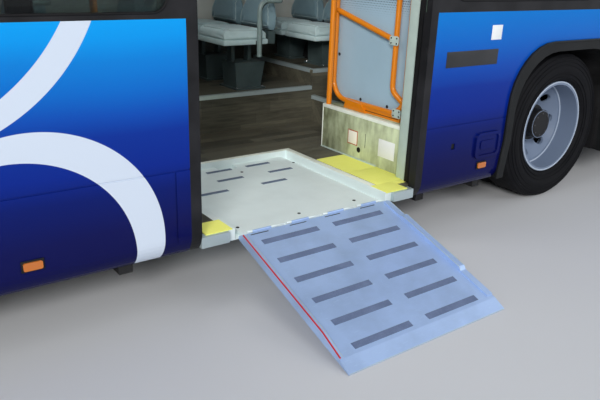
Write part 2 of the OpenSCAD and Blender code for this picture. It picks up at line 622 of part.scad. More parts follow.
module axle_rear() color(black) {
    at_axle(0) rotate([-90, 0, 0]) {
        translate([0, 0, -wheel_y + 363]) cylinder(h = 2 * wheel_y - 726, r = 80);
        translate([0, 0, -wheel_y - 17]) cylinder(h = 2 * wheel_y + 34, r = 45);
        translate([0, 0, -300]) cylinder(h = 260, r = 150);
    }
    // Spring seats below the rails
    for (y = [-rail_y, rail_y]) box(-60, 60, y - 40, y + 40, axle_z + 60, high_z - seat_gap);
}
// Turned profiles (radius, offset along the axle)
function barrel(w) = [[277, -w], [298.5 * rim_r / 298.5, -w], [rim_r, -w + 9], [285, -w + 14], [285, w - 14],
    [rim_r, w - 9], [rim_r, w], [277, w]];
tyre_half = tyre_w / 2;
function tyre_line() = [[285 + seat_gap, -96], [rim_r + 1, -101], [rim_r + 22, -tyre_half + 10], [380, -tyre_half],
    [440, -tyre_half + 7], [tyre_r - 8, -tyre_half + 26], [tyre_r, -tyre_half + 48], [tyre_r, tyre_half - 48],
    [tyre_r - 8, tyre_half - 26], [440, tyre_half - 7], [380, tyre_half], [rim_r + 22, tyre_half - 10],
    [rim_r + 1, 101], [285 + seat_gap, 96]];
module wheel_at(x, y, s) at_axle(x) translate([0, s * y, 0]) rotate([-90 * s, 0, 0]) children();
module tyre_form() rotate_extrude($fn = 96) polygon(tyre_line());
hand_holes = 8;
// Disc from the hub face at f to the barrel at j, with a ring of hand holes
function disc_line(r, f, j, t) = [[r, f], [158, f], [176, f + (j - f) * 0.30], [240, f + (j - f) * 0.82], [262, j],
    [279, j], [279, j + t], [256, j + t], [234, f + (j - f) * 0.82 + t], [168, f + (j - f) * 0.30 + t], [152, f + t], [r, f + t]];
module rim_form(f, j) difference() {
    union() {
        rotate_extrude($fn = 72) polygon(barrel(112));
        rotate_extrude($fn = 72) polygon(disc_line(60, f, j, 12));
    }
    for (i = [0:hand_holes - 1]) rotate([0, 0, 360 / hand_holes * i]) translate([208, 0, min(f, j) - 20])
        linear_extrude(abs(f - j) + 50) polygon(rrect(-24, -31, 24, 31, 23.5));
}
module rim_front(s) color("silver") wheel_at(wheelbase, wheel_y, s) difference() {
    union() {
        rim_form(80, 38);
        translate([0, 0, -40]) cylinder(h = 132, r = 105);
        translate([0, 0, 90]) cylinder(h = 30, r = 72);
    }
    translate([0, 0, -100]) cylinder(h = 100 + 90, r = spindle_r + run_gap);
}
module rim_front_left() rim_front(1);
module rim_front_right() rim_front(-1);
module tyre_front_left() color([0.1, 0.1, 0.1]) wheel_at(wheelbase, wheel_y, 1) tyre_form();
module tyre_front_right() color([0.1, 0.1, 0.1]) wheel_at(wheelbase, wheel_y, -1) tyre_form();
module tyres_rear(s) color([0.1, 0.1, 0.1]) for (y = [0, twin_pitch]) wheel_at(0, wheel_y - y, s) tyre_form();
module tyres_rear_left() tyres_rear(1);
module tyres_rear_right() tyres_rear(-1);
module rims_rear(s) color("silver") wheel_at(0, wheel_y, s) difference() {
    union() {
        rim_form(-twin_pitch / 2, -30);
        translate([0, 0, -twin_pitch]) mirror([0, 0, 1]) rim_form(-twin_pitch / 2, -30);
        translate([0, 0, -twin_pitch + 20]) cylinder(h = twin_pitch - 60, r = 125);
        translate([0, 0, -60]) cylinder(h = 90, r = 92);
    }
    translate([0, 0, -450]) cylinder(h = 470, r = 45 + run_gap);
}
module rims_rear_left() rims_rear(1);
module rims_rear_right() rims_rear(-1);

// Roof: cooling unit with guarded fans, a duct ahead of it and two escape hatches
unit_x0 = 900;
unit_l = 2400;
unit_y = 700;
unit_top = roof_z + 180;
unit_base = roof_z - 150;
fan_r = 185;
fan_xs = [unit_x0 + 800, unit_x0 + 1600];
fan_y = 290;
// Ring guard of a fan: hoops on four spokes
module fan_guard() {
    for (r = [40, 85, 130]) rotate_extrude($fn = 32) translate([r, 0]) square([9, 8]);
    for (a = [0, 45, 90, 135]) rotate([0, 0, a]) translate([-fan_r - 4, -4, 0]) cube([2 * fan_r + 8, 8, 8]);
}
module cooling_unit() difference() {
    intersection() {
        along_x(unit_x0, unit_x0 + unit_l) polygon(mirrored(concat([[unit_y, unit_base]],
            arc([unit_y - 90, unit_top - 90], 90, 0, 80, 6), [[0, unit_top]])));
        along_y(-unit_y, unit_y) polygon(concat([[unit_x0, unit_base], [unit_x0 + unit_l, unit_base]],
            arc([unit_x0 + unit_l - 160, unit_top - 120], 120, 0, 90, 6), arc([unit_x0 + 220, unit_top - 120], 120, 90, 150, 5)));
    }
    for (x = fan_xs) for (y = [-fan_y, fan_y]) translate([x, y, unit_top - 70]) cylinder(h = 100, r = fan_r);
    // Intake slots along both sides
    for (s = [1, -1]) side(s) for (i = [0:5]) along_y(unit_y - 25, unit_y + 10)
        polygon(rrect(unit_x0 + 420 + 300 * i, unit_base + 150, unit_x0 + 660 + 300 * i, unit_base + 215, 20));
}
hatch_xs = [-1500, wheelbase + 700];
module roof_unit() color("white") difference() {
    union() {
        cooling_unit();
        for (x = fan_xs) for (y = [-fan_y, fan_y]) translate([x, y, unit_top - 16]) fan_guard();
        box(unit_x0 + unit_l + 1000, unit_x0 + unit_l + 1800, -420, 420, unit_base, unit_base + 220);
        for (x = hatch_xs) translate([0, 0, unit_base]) linear_extrude(195) polygon(rrect(x - 380, -330, x + 380, 330, 60));
    }
    along_x(x_rear, x_front) polygon(section(-seat_gap));
}

// Small outside fittings
module lamps_side() color("orange") for (s = [1, -1]) side(s)
    for (x = [side_x0 + 1050, housing_x + 29, mid_door_front + 650, wheelbase - 900])
        along_y(half_w + seat_gap, half_w + 12) polygon(rrect(x - 35, 340, x + 35, 372, 7));
// Mirror arms from the roof corners to their housings, columns of an elbow: x ahead of the front, y out, z below the roof
mirror_root = [-330, -120, -370];
mirror_elbow = [-20, 60, -290];
mirror_low = [120, 60, -550];
mirror_z0 = roof_z - 900;
mirror_z1 = roof_z - 540;
mirror_out = 180;
mirror_ahead = 155;
module mirrors() color(black) difference() {
    base = [x_front, half_w, roof_z];
    for (s = [1, -1]) side(s) {
        rod(base + mirror_root, base + mirror_elbow, 18);
        translate(base + mirror_elbow) sphere(r = 21, $fn = 32);
        rod(base + mirror_elbow, base + mirror_low, 18);
        along_x(x_front + mirror_ahead - 70, x_front + mirror_ahead)
            polygon(rrect(half_w - 60, mirror_z0, half_w + mirror_out, mirror_z1, 45));
    }
    body_solid(-seat_gap);
}
module wipers() color(black) difference() {
    for (s = [1, -1]) {
        rod([x_front - 30, s * 180, 1150], [x_front + 14, s * 180, 1150], 22);
        rod([x_front + 12, s * 180, 1150], [x_front + 12, s * 180 + 40, 1560], 9);
        box(x_front - 6, x_front + 16, s * 180 + 20, s * 180 + 34, 1350, 1980);
    }
    body_solid(-seat_gap);
}
module dashboard() color(black) intersection() {
    body_solid(wall_t + seat_gap);
    union() {
        along_y(-half_w + 90, half_w - 600) polygon([[x_front - 360, floor_z + 135], [x_front, floor_z + 135],
            [x_front, belt_z - 145], [x_front - 300, belt_z - 145], [x_front - 420, belt_z - 205], [x_front - 420, 820]]);
        along_y(driver_y - 310, driver_y + 310) polygon([[x_front - 419, 880], [x_front - 419, 1018], [x_front - 540, 960], [x_front - 540, 920]]);
        // Blank destination box over the windscreen
        box(x_front - 300, x_front, 342.5 - half_w, half_w - 342.5, window_top_z + 160, roof_z - 90);
    }
}
// Driver's place: middle of the seat across the bus, top of the platform and height of its steering wheel
driver_y = 552.5 - half_w;
driver_z = 520;
wheel_pos = [x_front - 680, driver_y, driver_z + 660];
module steering_wheel() color(black) difference() {
    translate(wheel_pos) rotate([0, -17, 0]) {
        rotate_extrude($fn = 48) translate([215, 0]) circle(r = 15, $fn = 16);
        for (a = [90, 210, 330]) rotate([0, 0, a]) translate([30, -14, -8]) cube([178, 28, 12]);
        translate([0, 0, -760]) cylinder(h = 765, r = 36);
    }
    box(x_front - 900, x_front, driver_y - 210, driver_y + 190, 0, driver_z + seat_gap);
}
module driver_seat() color("gray") translate([x_front - 1110, driver_y, driver_z + seat_gap]) {
    cylinder(h = 330, r = 120);
    translate([-200, -150, 0]) cube([400, 300, 20]);
    along_y(-245, 245) polygon([[-240, 330], [250, 320], [270, 400], [240, 440], [-170, 420], [-300, 1050],
        [-360, 1160], [-420, 1150], [-400, 1030], [-270, 380]]);
}

// Passenger seats, columns: x of the cushion's middle, y of the seat's middle, height of the surface it stands on,
// height of the cushion's underside above that surface
seat_y = inner_y - 212.5;
seat_pitch_y = 445;
seat_half = 205;
cushion_h = 358;
seat_pitch_x = 780;
first_seat_x = mid_door_rear + 190;
seat_xs = [for (i = [0:3]) first_seat_x + seat_pitch_x * i];
second_seat_x = first_seat_x - 770;
second_h = platform_z + cushion_h - rear_floor_z;
rear_seat_x = engine_x0 + engine_l + 100;
back_seat_x = side_x0 + 300;
back_pitch = (seat_y - 25) / 2;
aisle_seats = concat([for (x = seat_xs) [x, seat_pitch_y - seat_y, platform_z, cushion_h]],
    [[second_seat_x, seat_pitch_y - seat_y, rear_floor_z, second_h]]);
seats = concat(aisle_seats, [for (a = aisle_seats) [a[0], -seat_y, a[2], a[3]]],
    [for (y = [seat_y - 20, seat_y - 20 - seat_pitch_y]) for (s = [1, -1]) [rear_seat_x, s * y, engine_floor_z, cushion_h]],
    [for (i = [-2:2]) [back_seat_x, i * back_pitch, engine_floor_z, cushion_h]]);
// Front outline (y, z) of a seat back: square at the cushion, then a slender back with round shoulders
function back_outline(w) = concat([[-w, 40], [w, 40]], arc([w - 70, 150], 70, 0, 45, 3),
    [[w - 86, 300]], arc([w - 155, 520], 60, 10, 90, 5), arc([155 - w, 520], 60, 90, 170, 5),
    [[86 - w, 300]], arc([70 - w, 150], 70, 135, 180, 3));
module seat_cushions() color("teal") for (s = seats) translate([s[0], s[1], s[2] + s[3]]) {
    along_y(-seat_half, seat_half) polygon(concat([[-200, 0], [140, 0]], arc([128, 38], 38, -75, 80, 8), [[-180, 70], [-206, 46]]));
    intersection() {
        along_y(-seat_half, seat_half) polygon([[-216, 56], [-192, 88], [-250, 470], [-272, 574], [-296, 586],
            [-318, 568], [-312, 470], [-272, 56]]);
        along_x(-400, 0) polygon(back_outline(seat_half));
    }
}
// Tube bent in a quarter circle about [x, z], in the plane at y
module bend_xz(x, y, z, r, a, t) translate([x, y, z]) rotate([90, 0, 0]) rotate([0, 0, a])
    rotate_extrude(angle = 90) translate([r, 0]) circle(r = t, $fn = 24);
// Grab handle beside an aisle seat, over the cushion's underside: an upright, a bend and a level top
handle_r = 17;
handle_bend = 85;
handle_x = -116;
module seat_handle() {
    y = seat_half + handle_r + seat_gap;
    translate([handle_x, y, -112]) cylinder(h = 290, r = handle_r, $fn = 24);
    bend_xz(handle_x - handle_bend, y, 178, handle_bend, 0, handle_r);
    translate([handle_x - handle_bend, y, 178 + handle_bend]) rotate([0, -90, 0]) cylinder(h = 90, r = handle_r, $fn = 24);
    box(handle_x - 14, handle_x + 14, seat_half - 12, y, -30, -6);
}
// Seat carrier at height h on two legs and a tapered pedestal with its foot
module seat_frame(h) {
    box(-262, 150, -195, 195, h - 30, h - seat_gap * 2);
    box(-262, -208, -195, 195, h - 30, h + 56 - seat_gap * 2);
    for (x = [-165, -30]) box(x, x + 26, -30, 30, 185, h - 29);
    along_y(-95, 95) polygon([[-209, 10], [-8, 10], [4, 190], [-243, 190]]);
    box(-232, 10, -125, 125, 0, 12);
}
module seat_frames() color("gray") difference() {
    union() {
        for (s = seats) translate([s[0], s[1], s[2] + seat_gap]) seat_frame(s[3]);
        for (s = aisle_seats) translate([s[0], s[1], s[2] + s[3] + seat_gap]) seat_handle();
    }
    house_rooms();
}

// Grab rails under the ceiling on their hangers, and stanchions from floor to ceiling
rail_z = 2000;
rail_r = 16;
hand_y = 420;
rail_ends = [side_x0 + 250, front_door_x0 + 220];
hanger_xs = [side_x0 + 350, -1200, 200, mid_door_rear + 340, mid_door_front + 350, wheelbase + 100, front_door_x0 + 120];
// Columns: x, y, height of the floor
poles = [[mid_door_front + 90, 470, floor_z], [box_x1 - 20, 330, box_z], [step_x + 100, 330, rear_floor_z],
    [wheelbase - 820, 456, floor_z], [wheelbase - 820, -290, floor_z], [mid_door_front + 750, -290, floor_z],
    [-820, 380, rear_floor_z], [-820, -380, rear_floor_z], [front_door_x0 - 40, 455, floor_z]];
module handrails() color("orange") intersection() {
    union() {
        for (p = poles) translate([p[0], p[1], p[2] + seat_gap]) cylinder(h = roof_z, r = 17);
        for (y = [-hand_y, hand_y]) {
            rod([rail_ends[0], y, rail_z], [rail_ends[1], y, rail_z], rail_r);
            for (x = hanger_xs) translate([x, y, rail_z + rail_r + seat_gap]) cylinder(h = roof_z - rail_z, r = 14);
        }
    }
    along_x(side_x0, side_x1) polygon(section(frame_t + seat_gap));
}

// Sliding middle door: two leaves inside the wall, under one guide rail
leaf_y1 = inner_y - 20.5;
leaf_y0 = leaf_y1 - leaf_t;
door_mid = (door_x0 + door_x1) / 2 - 5;
meet_gap = 6;
stroke = (door_x1 - door_x0) / 2 + 12;
leaf_w = (door_x1 - door_x0) / 2 + 12;
leaf_z0 = floor_z + 12;
leaf_z1 = door_top_z + 30;
hanger_z = leaf_z1 + 40;
module rail_line() polygon([[leaf_y0 - 10, leaf_z1 + 8], [side_y(leaf_z1) - frame_t - seat_gap - 2, leaf_z1 + 8],
    [side_y(hanger_z + 30) - frame_t - seat_gap, hanger_z + 40], [leaf_y0 - 10, hanger_z + 40]]);
module door_guides() color("silver") {
    guide_rail();
    door_posts();
}
module guide_rail() difference() {
    along_x(door_mid - leaf_w - stroke - 20, door_mid + leaf_w + stroke + 20) rail_line();
    along_x(door_mid - leaf_w - stroke - 14, door_mid + leaf_w + stroke + 14)
        polygon([[leaf_y0 + 4, 0], [leaf_y1 - 4, 0], [leaf_y1 - 4, hanger_z + seat_gap], [leaf_y0 + 4, hanger_z + seat_gap]]);
}
module door_posts() for (x = [door_x0 - 84 + seat_gap, door_x1 + 60])
    box(x, x + 40, leaf_y0 - 48, leaf_y0 - 8, floor_z + seat_gap, leaf_z1 + 8 - seat_gap);
module leaf_window(x0, x1, g = 0) along_y(0, half_w)
    polygon(rrect(x0 + 80 + g, 640 + g, x1 - 80 - g, leaf_z1 - 110 - g, 60 - g));
module mid_leaf(x0, x1) {
    difference() {
        box(x0, x1, leaf_y0, leaf_y1, leaf_z0, leaf_z1);
        leaf_window(x0, x1);
    }
    for (x = [x0 + 80, x1 - 140]) box(x, x + 60, leaf_y0 + 10, leaf_y1 - 10, leaf_z1 - 1, hanger_z);
}
module mid_glass(x0, x1) intersection() {
    box(x0, x1, leaf_y1 - 16, leaf_y1 - 8, leaf_z0, leaf_z1);
    leaf_window(x0, x1, seat_gap);
}
// Both leaves are drawn open
front_leaf_x = door_mid + meet_gap / 2 + stroke;
rear_leaf_x = door_mid - meet_gap / 2 - stroke;
module mid_leaf_front() color(black) mid_leaf(front_leaf_x, front_leaf_x + leaf_w);
module mid_leaf_rear() color(black) mid_leaf(rear_leaf_x - leaf_w, rear_leaf_x);
module mid_glass_front() color([0.2, 0.25, 0.28, 0.5]) mid_glass(front_leaf_x, front_leaf_x + leaf_w);
module mid_glass_rear() color([0.2, 0.25, 0.28, 0.5]) mid_glass(rear_leaf_x - leaf_w, rear_leaf_x);

// Front door: leaf a turns on a post behind the front jamb, leaf b on leaf a's rear edge
fold_t = 30;
fold_y1 = half_w - 22;
fold_y0 = fold_y1 - fold_t;
fold_a = [front_door_x1 - 22, fold_y0 - 10];
fold_l = (front_door_w - 22 - 18) / 2;
fold_b = [fold_a[0] - fold_l, fold_y1 + 9];
eye_heights = [500, 1950];
module fold_leaf(x0, x1) difference() {
    box(x0, x1, fold_y0, fold_y1, leaf_z0, door_top_z - 12);
    fold_window(x0, x1);
}
module fold_window(x0, x1, g = 0) along_y(0, half_w)
    polygon(rrect(x0 + 60 + g, 560 + g, x1 - 60 - g, door_top_z - 100 - g, 50 - g));
module front_leaf_a() color(black) {
    fold_leaf(fold_b[0] + 3, fold_a[0] + 8);
    for (z = eye_heights) {
        difference() {
            union() {
                translate([fold_a[0], fold_a[1], z - 40]) cylinder(h = 80, r = 9, $fn = 32);
                box(fold_a[0] - 30, fold_a[0] + 5, fold_a[1], fold_y0 + 1, z - 40, z + 40);
            }
            translate([fold_a[0], fold_a[1], z - 50]) cylinder(h = 100, r = 4 + run_gap, $fn = 32);
        }
        // Pin and eyes for leaf b
        translate([fold_b[0], fold_b[1], z - 62]) cylinder(h = 124, r = 4, $fn = 32);
        for (e = [z - 62, z + 42]) {
            translate([fold_b[0], fold_b[1], e]) cylinder(h = 20, r = 8, $fn = 32);
            box(fold_b[0], fold_b[0] + 30, fold_y1 - 1, fold_b[1] + 4, e, e + 20);
        }
    }
}
module front_leaf_b() color(black) {
    fold_leaf(front_door_x0 + 14, fold_b[0] - 3);
    for (z = eye_heights) difference() {
        union() {
            translate([fold_b[0], fold_b[1], z - 40]) cylinder(h = 80, r = 8, $fn = 32);
            box(fold_b[0] - 30, fold_b[0], fold_y1 - 1, fold_b[1] + 4, z - 40, z + 40);
        }
        translate([fold_b[0], fold_b[1], z - 50]) cylinder(h = 100, r = 4 + run_gap, $fn = 32);
    }
}
module fold_glass(x0, x1) intersection() {
    box(x0, x1, fold_y1 - 14, fold_y1 - 6, leaf_z0, door_top_z);
    fold_window(x0, x1, seat_gap);
}
module front_glass_a() color([0.2, 0.25, 0.28, 0.5]) fold_glass(fold_b[0] + 3, fold_a[0] + 8);
module front_glass_b() color([0.2, 0.25, 0.28, 0.5]) fold_glass(front_door_x0 + 14, fold_b[0] - 3);
// Fixed eyes of leaf a at one height: lugs on the front jamb with their pin
module jamb_eyes(z) {
    translate([fold_a[0], fold_a[1], z - 62]) cylinder(h = 124, r = 4, $fn = 32);
    for (e = [z - 62, z + 42]) {
        translate([fold_a[0], fold_a[1], e]) cylinder(h = 20, r = 9, $fn = 32);
        box(fold_a[0], front_door_x1 + 28, fold_a[1] - 9, fold_a[1] + 2, e, e + 20);
        box(front_door_x1 + 4, front_door_x1 + 28, fold_a[1] - 9, half_w - tumble - 6, e, e + 20);
    }
}

// Partition beside the middle door: a loop of bent tube with a grab rail across it, in one plane at guard_x
guard_x = box_x1 - 70;
guard_r = 16;
guard_y0 = 308;
guard_y1 = leaf_y0 - 180;
guard_z0 = box_z + 44;
guard_z1 = 1940;
bend_r = 120;
grab_y = leaf_y0 - 288;
grab_z = 790;
// Bend of the tube about the point y, z, from angle a through the angle turn
module bend(y, z, a, turn, r = bend_r) translate([guard_x, y, z]) rotate([90, 0, 90]) rotate([0, 0, a])
    rotate_extrude(angle = turn) translate([r, 0]) circle(r = guard_r);
module tube(p, q) rod([guard_x, p[0], p[1]], [guard_x, q[0], q[1]], guard_r);
module guard_loop() {
    y0 = guard_y0 + bend_r;
    y1 = guard_y1 - bend_r;
    z0 = guard_z0 + bend_r;
    z1 = guard_z1 - bend_r;
    tube([guard_y0, z0], [guard_y0, z1]);
    tube([guard_y1, z0], [guard_y1, z1]);
    tube([y0, guard_z0], [y1, guard_z0]);
    tube([y0, guard_z1], [y1, guard_z1]);
    bend(y0, z0, 180, 90);
    bend(y1, z0, 270, 90);
    bend(y1, z1, 0, 90);
    bend(y0, z1, 90, 90);
}
// Grab rail: down from the top tube, then bent out to the loop, with a slanting bar from the inner side
module grab_rail() {
    tube([grab_y, guard_z1], [grab_y, grab_z]);
    bend(grab_y + 60, grab_z, 180, 60, 60);
    tube([grab_y + 30, grab_z - 52], [guard_y1, grab_z - 52 - (guard_y1 - grab_y - 30) * tan(30)]);
    tube([guard_y0, 1171], [grab_y, 1038]);
}
module partition_frame() color("orange") {
    guard_loop();
    grab_rail();
    // Foot beam with its gusset
    box(guard_x - 30, guard_x + 12, guard_y0 + 147, guard_y1 - 20, box_z + seat_gap, guard_z0 - 8);
    along_x(guard_x + 11, guard_x + 28) polygon([[452, box_z + seat_gap], [660, box_z + seat_gap],
        [610, guard_z0 + 6], [468, guard_z0 + 14]]);
    // Post behind the driver
    translate([cab_x, cab_y, floor_z + seat_gap]) cylinder(h = 1620, r = 17);
}
cab_x = wheelbase + 660;
cab_y = driver_y + 360;
module partition_board() color("lightsteelblue") {
    x1 = guard_x - guard_r - seat_gap;
    along_x(x1 - 10, x1) polygon(rrect(guard_y0, guard_z0, guard_y1, guard_z1, bend_r));
    box(cab_x - 5, cab_x + 5, -inner_y + 12, cab_y - 17 - seat_gap, floor_z + 60, floor_z + 1600);
}

// Ramp, let down with its lip on the ground
ramp_t = 18;
lip_l = 66;
ramp_r = norm([ramp_l, ramp_t]);
slope = asin(hinge_z / ramp_r) - atan(ramp_t / ramp_l);
plate_z = -1;
module ramp() color("lightsteelblue") translate([0, hinge_y, hinge_z]) rotate([-slope, 0, 0]) {
    translate([ramp_x0, 0, 0]) rotate([90, 0, 90]) linear_extrude(ramp_w)
        polygon([[10, -ramp_t], [ramp_l, -ramp_t], [ramp_l, -ramp_t + 4], [ramp_l - lip_l, plate_z], [10, plate_z]]);
    // Side rails: the rear one is stepped, the front one runs out towards the lip
    translate([ramp_x0, 0, 0]) rotate([90, 0, 90]) linear_extrude(flange_rear_t)
        polygon([[24, -4], [ramp_l - lip_l - 16, -4], [ramp_l - lip_l - 20, 6], [598, 7], [580, flange_h],
            [166, flange_h], [150, 9], [24, 8]]);
    translate([ramp_x1 - flange_front_t, 0, 0]) rotate([90, 0, 90]) linear_extrude(flange_front_t)
        polygon([[20, -4], [ramp_l - lip_l, -4], [ramp_l - lip_l + 4, 2], [ramp_l - 190, flange_h], [34, flange_h], [20, 8]]);
    for (x = hinge_xs) difference() {
        union() {
            translate([x - hinge_len / 2, 0, 0]) rotate([0, 90, 0]) cylinder(h = hinge_len, r = barrel_ramp, $fn = 32);
            translate([x - hinge_len / 2, 0, -5.5]) cube([hinge_len, 14, 4.5]);
        }
        translate([x - hinge_len / 2 - 5, 0, 0]) rotate([0, 90, 0]) cylinder(h = hinge_len + 10, r = pin_r + run_gap, $fn = 32);
    }
}

// The origin is the bottom centre of the whole part's box
part_x0 = hatch_axis[0] - barrel_r;
part_x1 = x_front + mirror_ahead;
tip_y = hinge_y + ramp_l * cos(slope) - (ramp_t - 4) * sin(slope);
part_y0 = -half_w - mirror_out;
part_y1 = tip_y;
module place() translate([-(part_x0 + part_x1) / 2, -(part_y0 + part_y1) / 2, 0]) children();

place() {
    side_left();
    side_right();
    window_frames();
    roof();
    front_panel();
    rear_panel();
    bumper_front();
    bumper_rear();
    arch_trims();
    wheel_houses();
    floor();
    seat_platforms();
    sill_edges();
    sill_treads();
    ramp_tray();
    underframe();
    engine();
    axle_front();
    axle_rear();
    windscreen();
    windows_glazed();
    roof_unit();
    lamps_front();
    lamps_rear();
    lamps_side();
    mirrors();
    wipers();
    dashboard();
    steering_wheel();
    driver_seat();
    seat_cushions();
    seat_frames();
    handrails();
    door_guides();
    partition_frame();
    partition_board();
    knuckle_left();
    knuckle_right();
    tyre_front_left();
    tyre_front_right();
    tyres_rear_left();
    tyres_rear_right();
    rim_front_left();
    rim_front_right();
    rims_rear_left();
    rims_rear_right();
    mid_leaf_front();
    mid_leaf_rear();
    mid_glass_front();
    mid_glass_rear();
    front_leaf_a();
    front_leaf_b();
    front_glass_a();
    front_glass_b();
    ramp();
    engine_hatch();
}
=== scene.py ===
"""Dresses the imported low-floor passenger bus: finishes, soft seats and fine detail.

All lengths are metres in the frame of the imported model. `BusFrame` turns sizes measured on the
bus (millimetres from the rear axle, the centreline and the ground) into that frame.
"""

from __future__ import annotations

import json  # noqa: E402
import logging  # noqa: E402
import math  # noqa: E402
from dataclasses import dataclass, field  # noqa: E402
from enum import Enum  # noqa: E402
from typing import Callable, Iterable, Optional, Sequence  # noqa: E402

import bmesh  # noqa: E402
import bpy  # noqa: E402
from mathutils import Matrix, Vector  # noqa: E402
from mathutils.bvhtree import BVHTree  # noqa: E402

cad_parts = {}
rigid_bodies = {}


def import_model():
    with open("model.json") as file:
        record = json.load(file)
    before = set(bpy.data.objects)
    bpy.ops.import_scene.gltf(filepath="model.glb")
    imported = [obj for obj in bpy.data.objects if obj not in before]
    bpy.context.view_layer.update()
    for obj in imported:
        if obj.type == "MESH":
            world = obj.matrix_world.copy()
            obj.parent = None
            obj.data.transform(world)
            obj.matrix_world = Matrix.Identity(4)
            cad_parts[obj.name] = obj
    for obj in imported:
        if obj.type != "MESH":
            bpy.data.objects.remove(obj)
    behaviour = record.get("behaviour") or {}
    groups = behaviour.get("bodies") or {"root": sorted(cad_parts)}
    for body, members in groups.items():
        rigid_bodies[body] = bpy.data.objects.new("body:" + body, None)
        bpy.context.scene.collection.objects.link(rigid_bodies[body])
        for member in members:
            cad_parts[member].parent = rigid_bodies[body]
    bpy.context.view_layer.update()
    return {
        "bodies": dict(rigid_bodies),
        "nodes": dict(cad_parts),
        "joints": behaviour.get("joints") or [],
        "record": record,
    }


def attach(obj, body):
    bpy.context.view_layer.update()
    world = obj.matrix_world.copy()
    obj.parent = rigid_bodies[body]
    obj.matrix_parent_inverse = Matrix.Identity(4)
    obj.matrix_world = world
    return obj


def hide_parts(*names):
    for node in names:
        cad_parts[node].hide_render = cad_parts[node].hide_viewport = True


LOG = logging.getLogger("bus")
Point = Sequence[float]
Flat = tuple[float, float]
Colour = tuple[float, float, float]
Socket = bpy.types.NodeSocket
Piece = bpy.types.Object
BMesh = bmesh.types.BMesh


@dataclass(frozen=True)
class BusFrame:
    """Place of the bus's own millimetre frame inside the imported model's frame, and its main sizes."""

    shift_x: float = -2384.0
    shift_y: float = -307.763
    half_w: float = 1242.5
    inner_y: float = 1192.5
    wheelbase: float = 5300.0
    front_x: float = 7530.0
    side_x0: float = -2750.0
    side_x1: float = 7110.0
    belt_z: float = 1225.0
    window_top_z: float = 2230.0
    cant_z: float = 2400.0
    roof_z: float = 2850.0
    tumble: float = 30.0
    axle_z: float = 478.5

    def at(self, x: float, y: float, z: float) -> Vector:
        """Turn a point of the bus in millimetres into metres in the model's frame."""
        return Vector(((x + self.shift_x) / 1000, (y + self.shift_y) / 1000, z / 1000))

    def side_y(self, z: float) -> float:
        """Distance of the outer side face from the centreline at a height."""
        lean = (z - self.belt_z) / (self.cant_z - self.belt_z)
        return self.half_w - self.tumble * max(0.0, lean)


BUS = BusFrame()

# Colour of the studio's world, its strength as a light and its strength where the camera sees it
SKY: Colour = (0.88, 0.92, 0.97)
SKY_LIGHT = 0.46
SKY_SEEN = 0.66


class Slot(Enum):
    """Material slots of the record, named with each added piece."""

    TRIM = "black_trim"
    ALUMINIUM = "aluminium"
    ROOF = "roof_white"
    CLEAR = "lamp_clear"
    RED = "lamp_red"
    TYRE = "tyre_rubber"
    RIM = "rim_silver"
    FABRIC = "seat_fabric"
    SHELL = "seat_shell"
    BOARD = "board_grey"
    YELLOW = "tread_yellow"
    DASH = "dash_black"


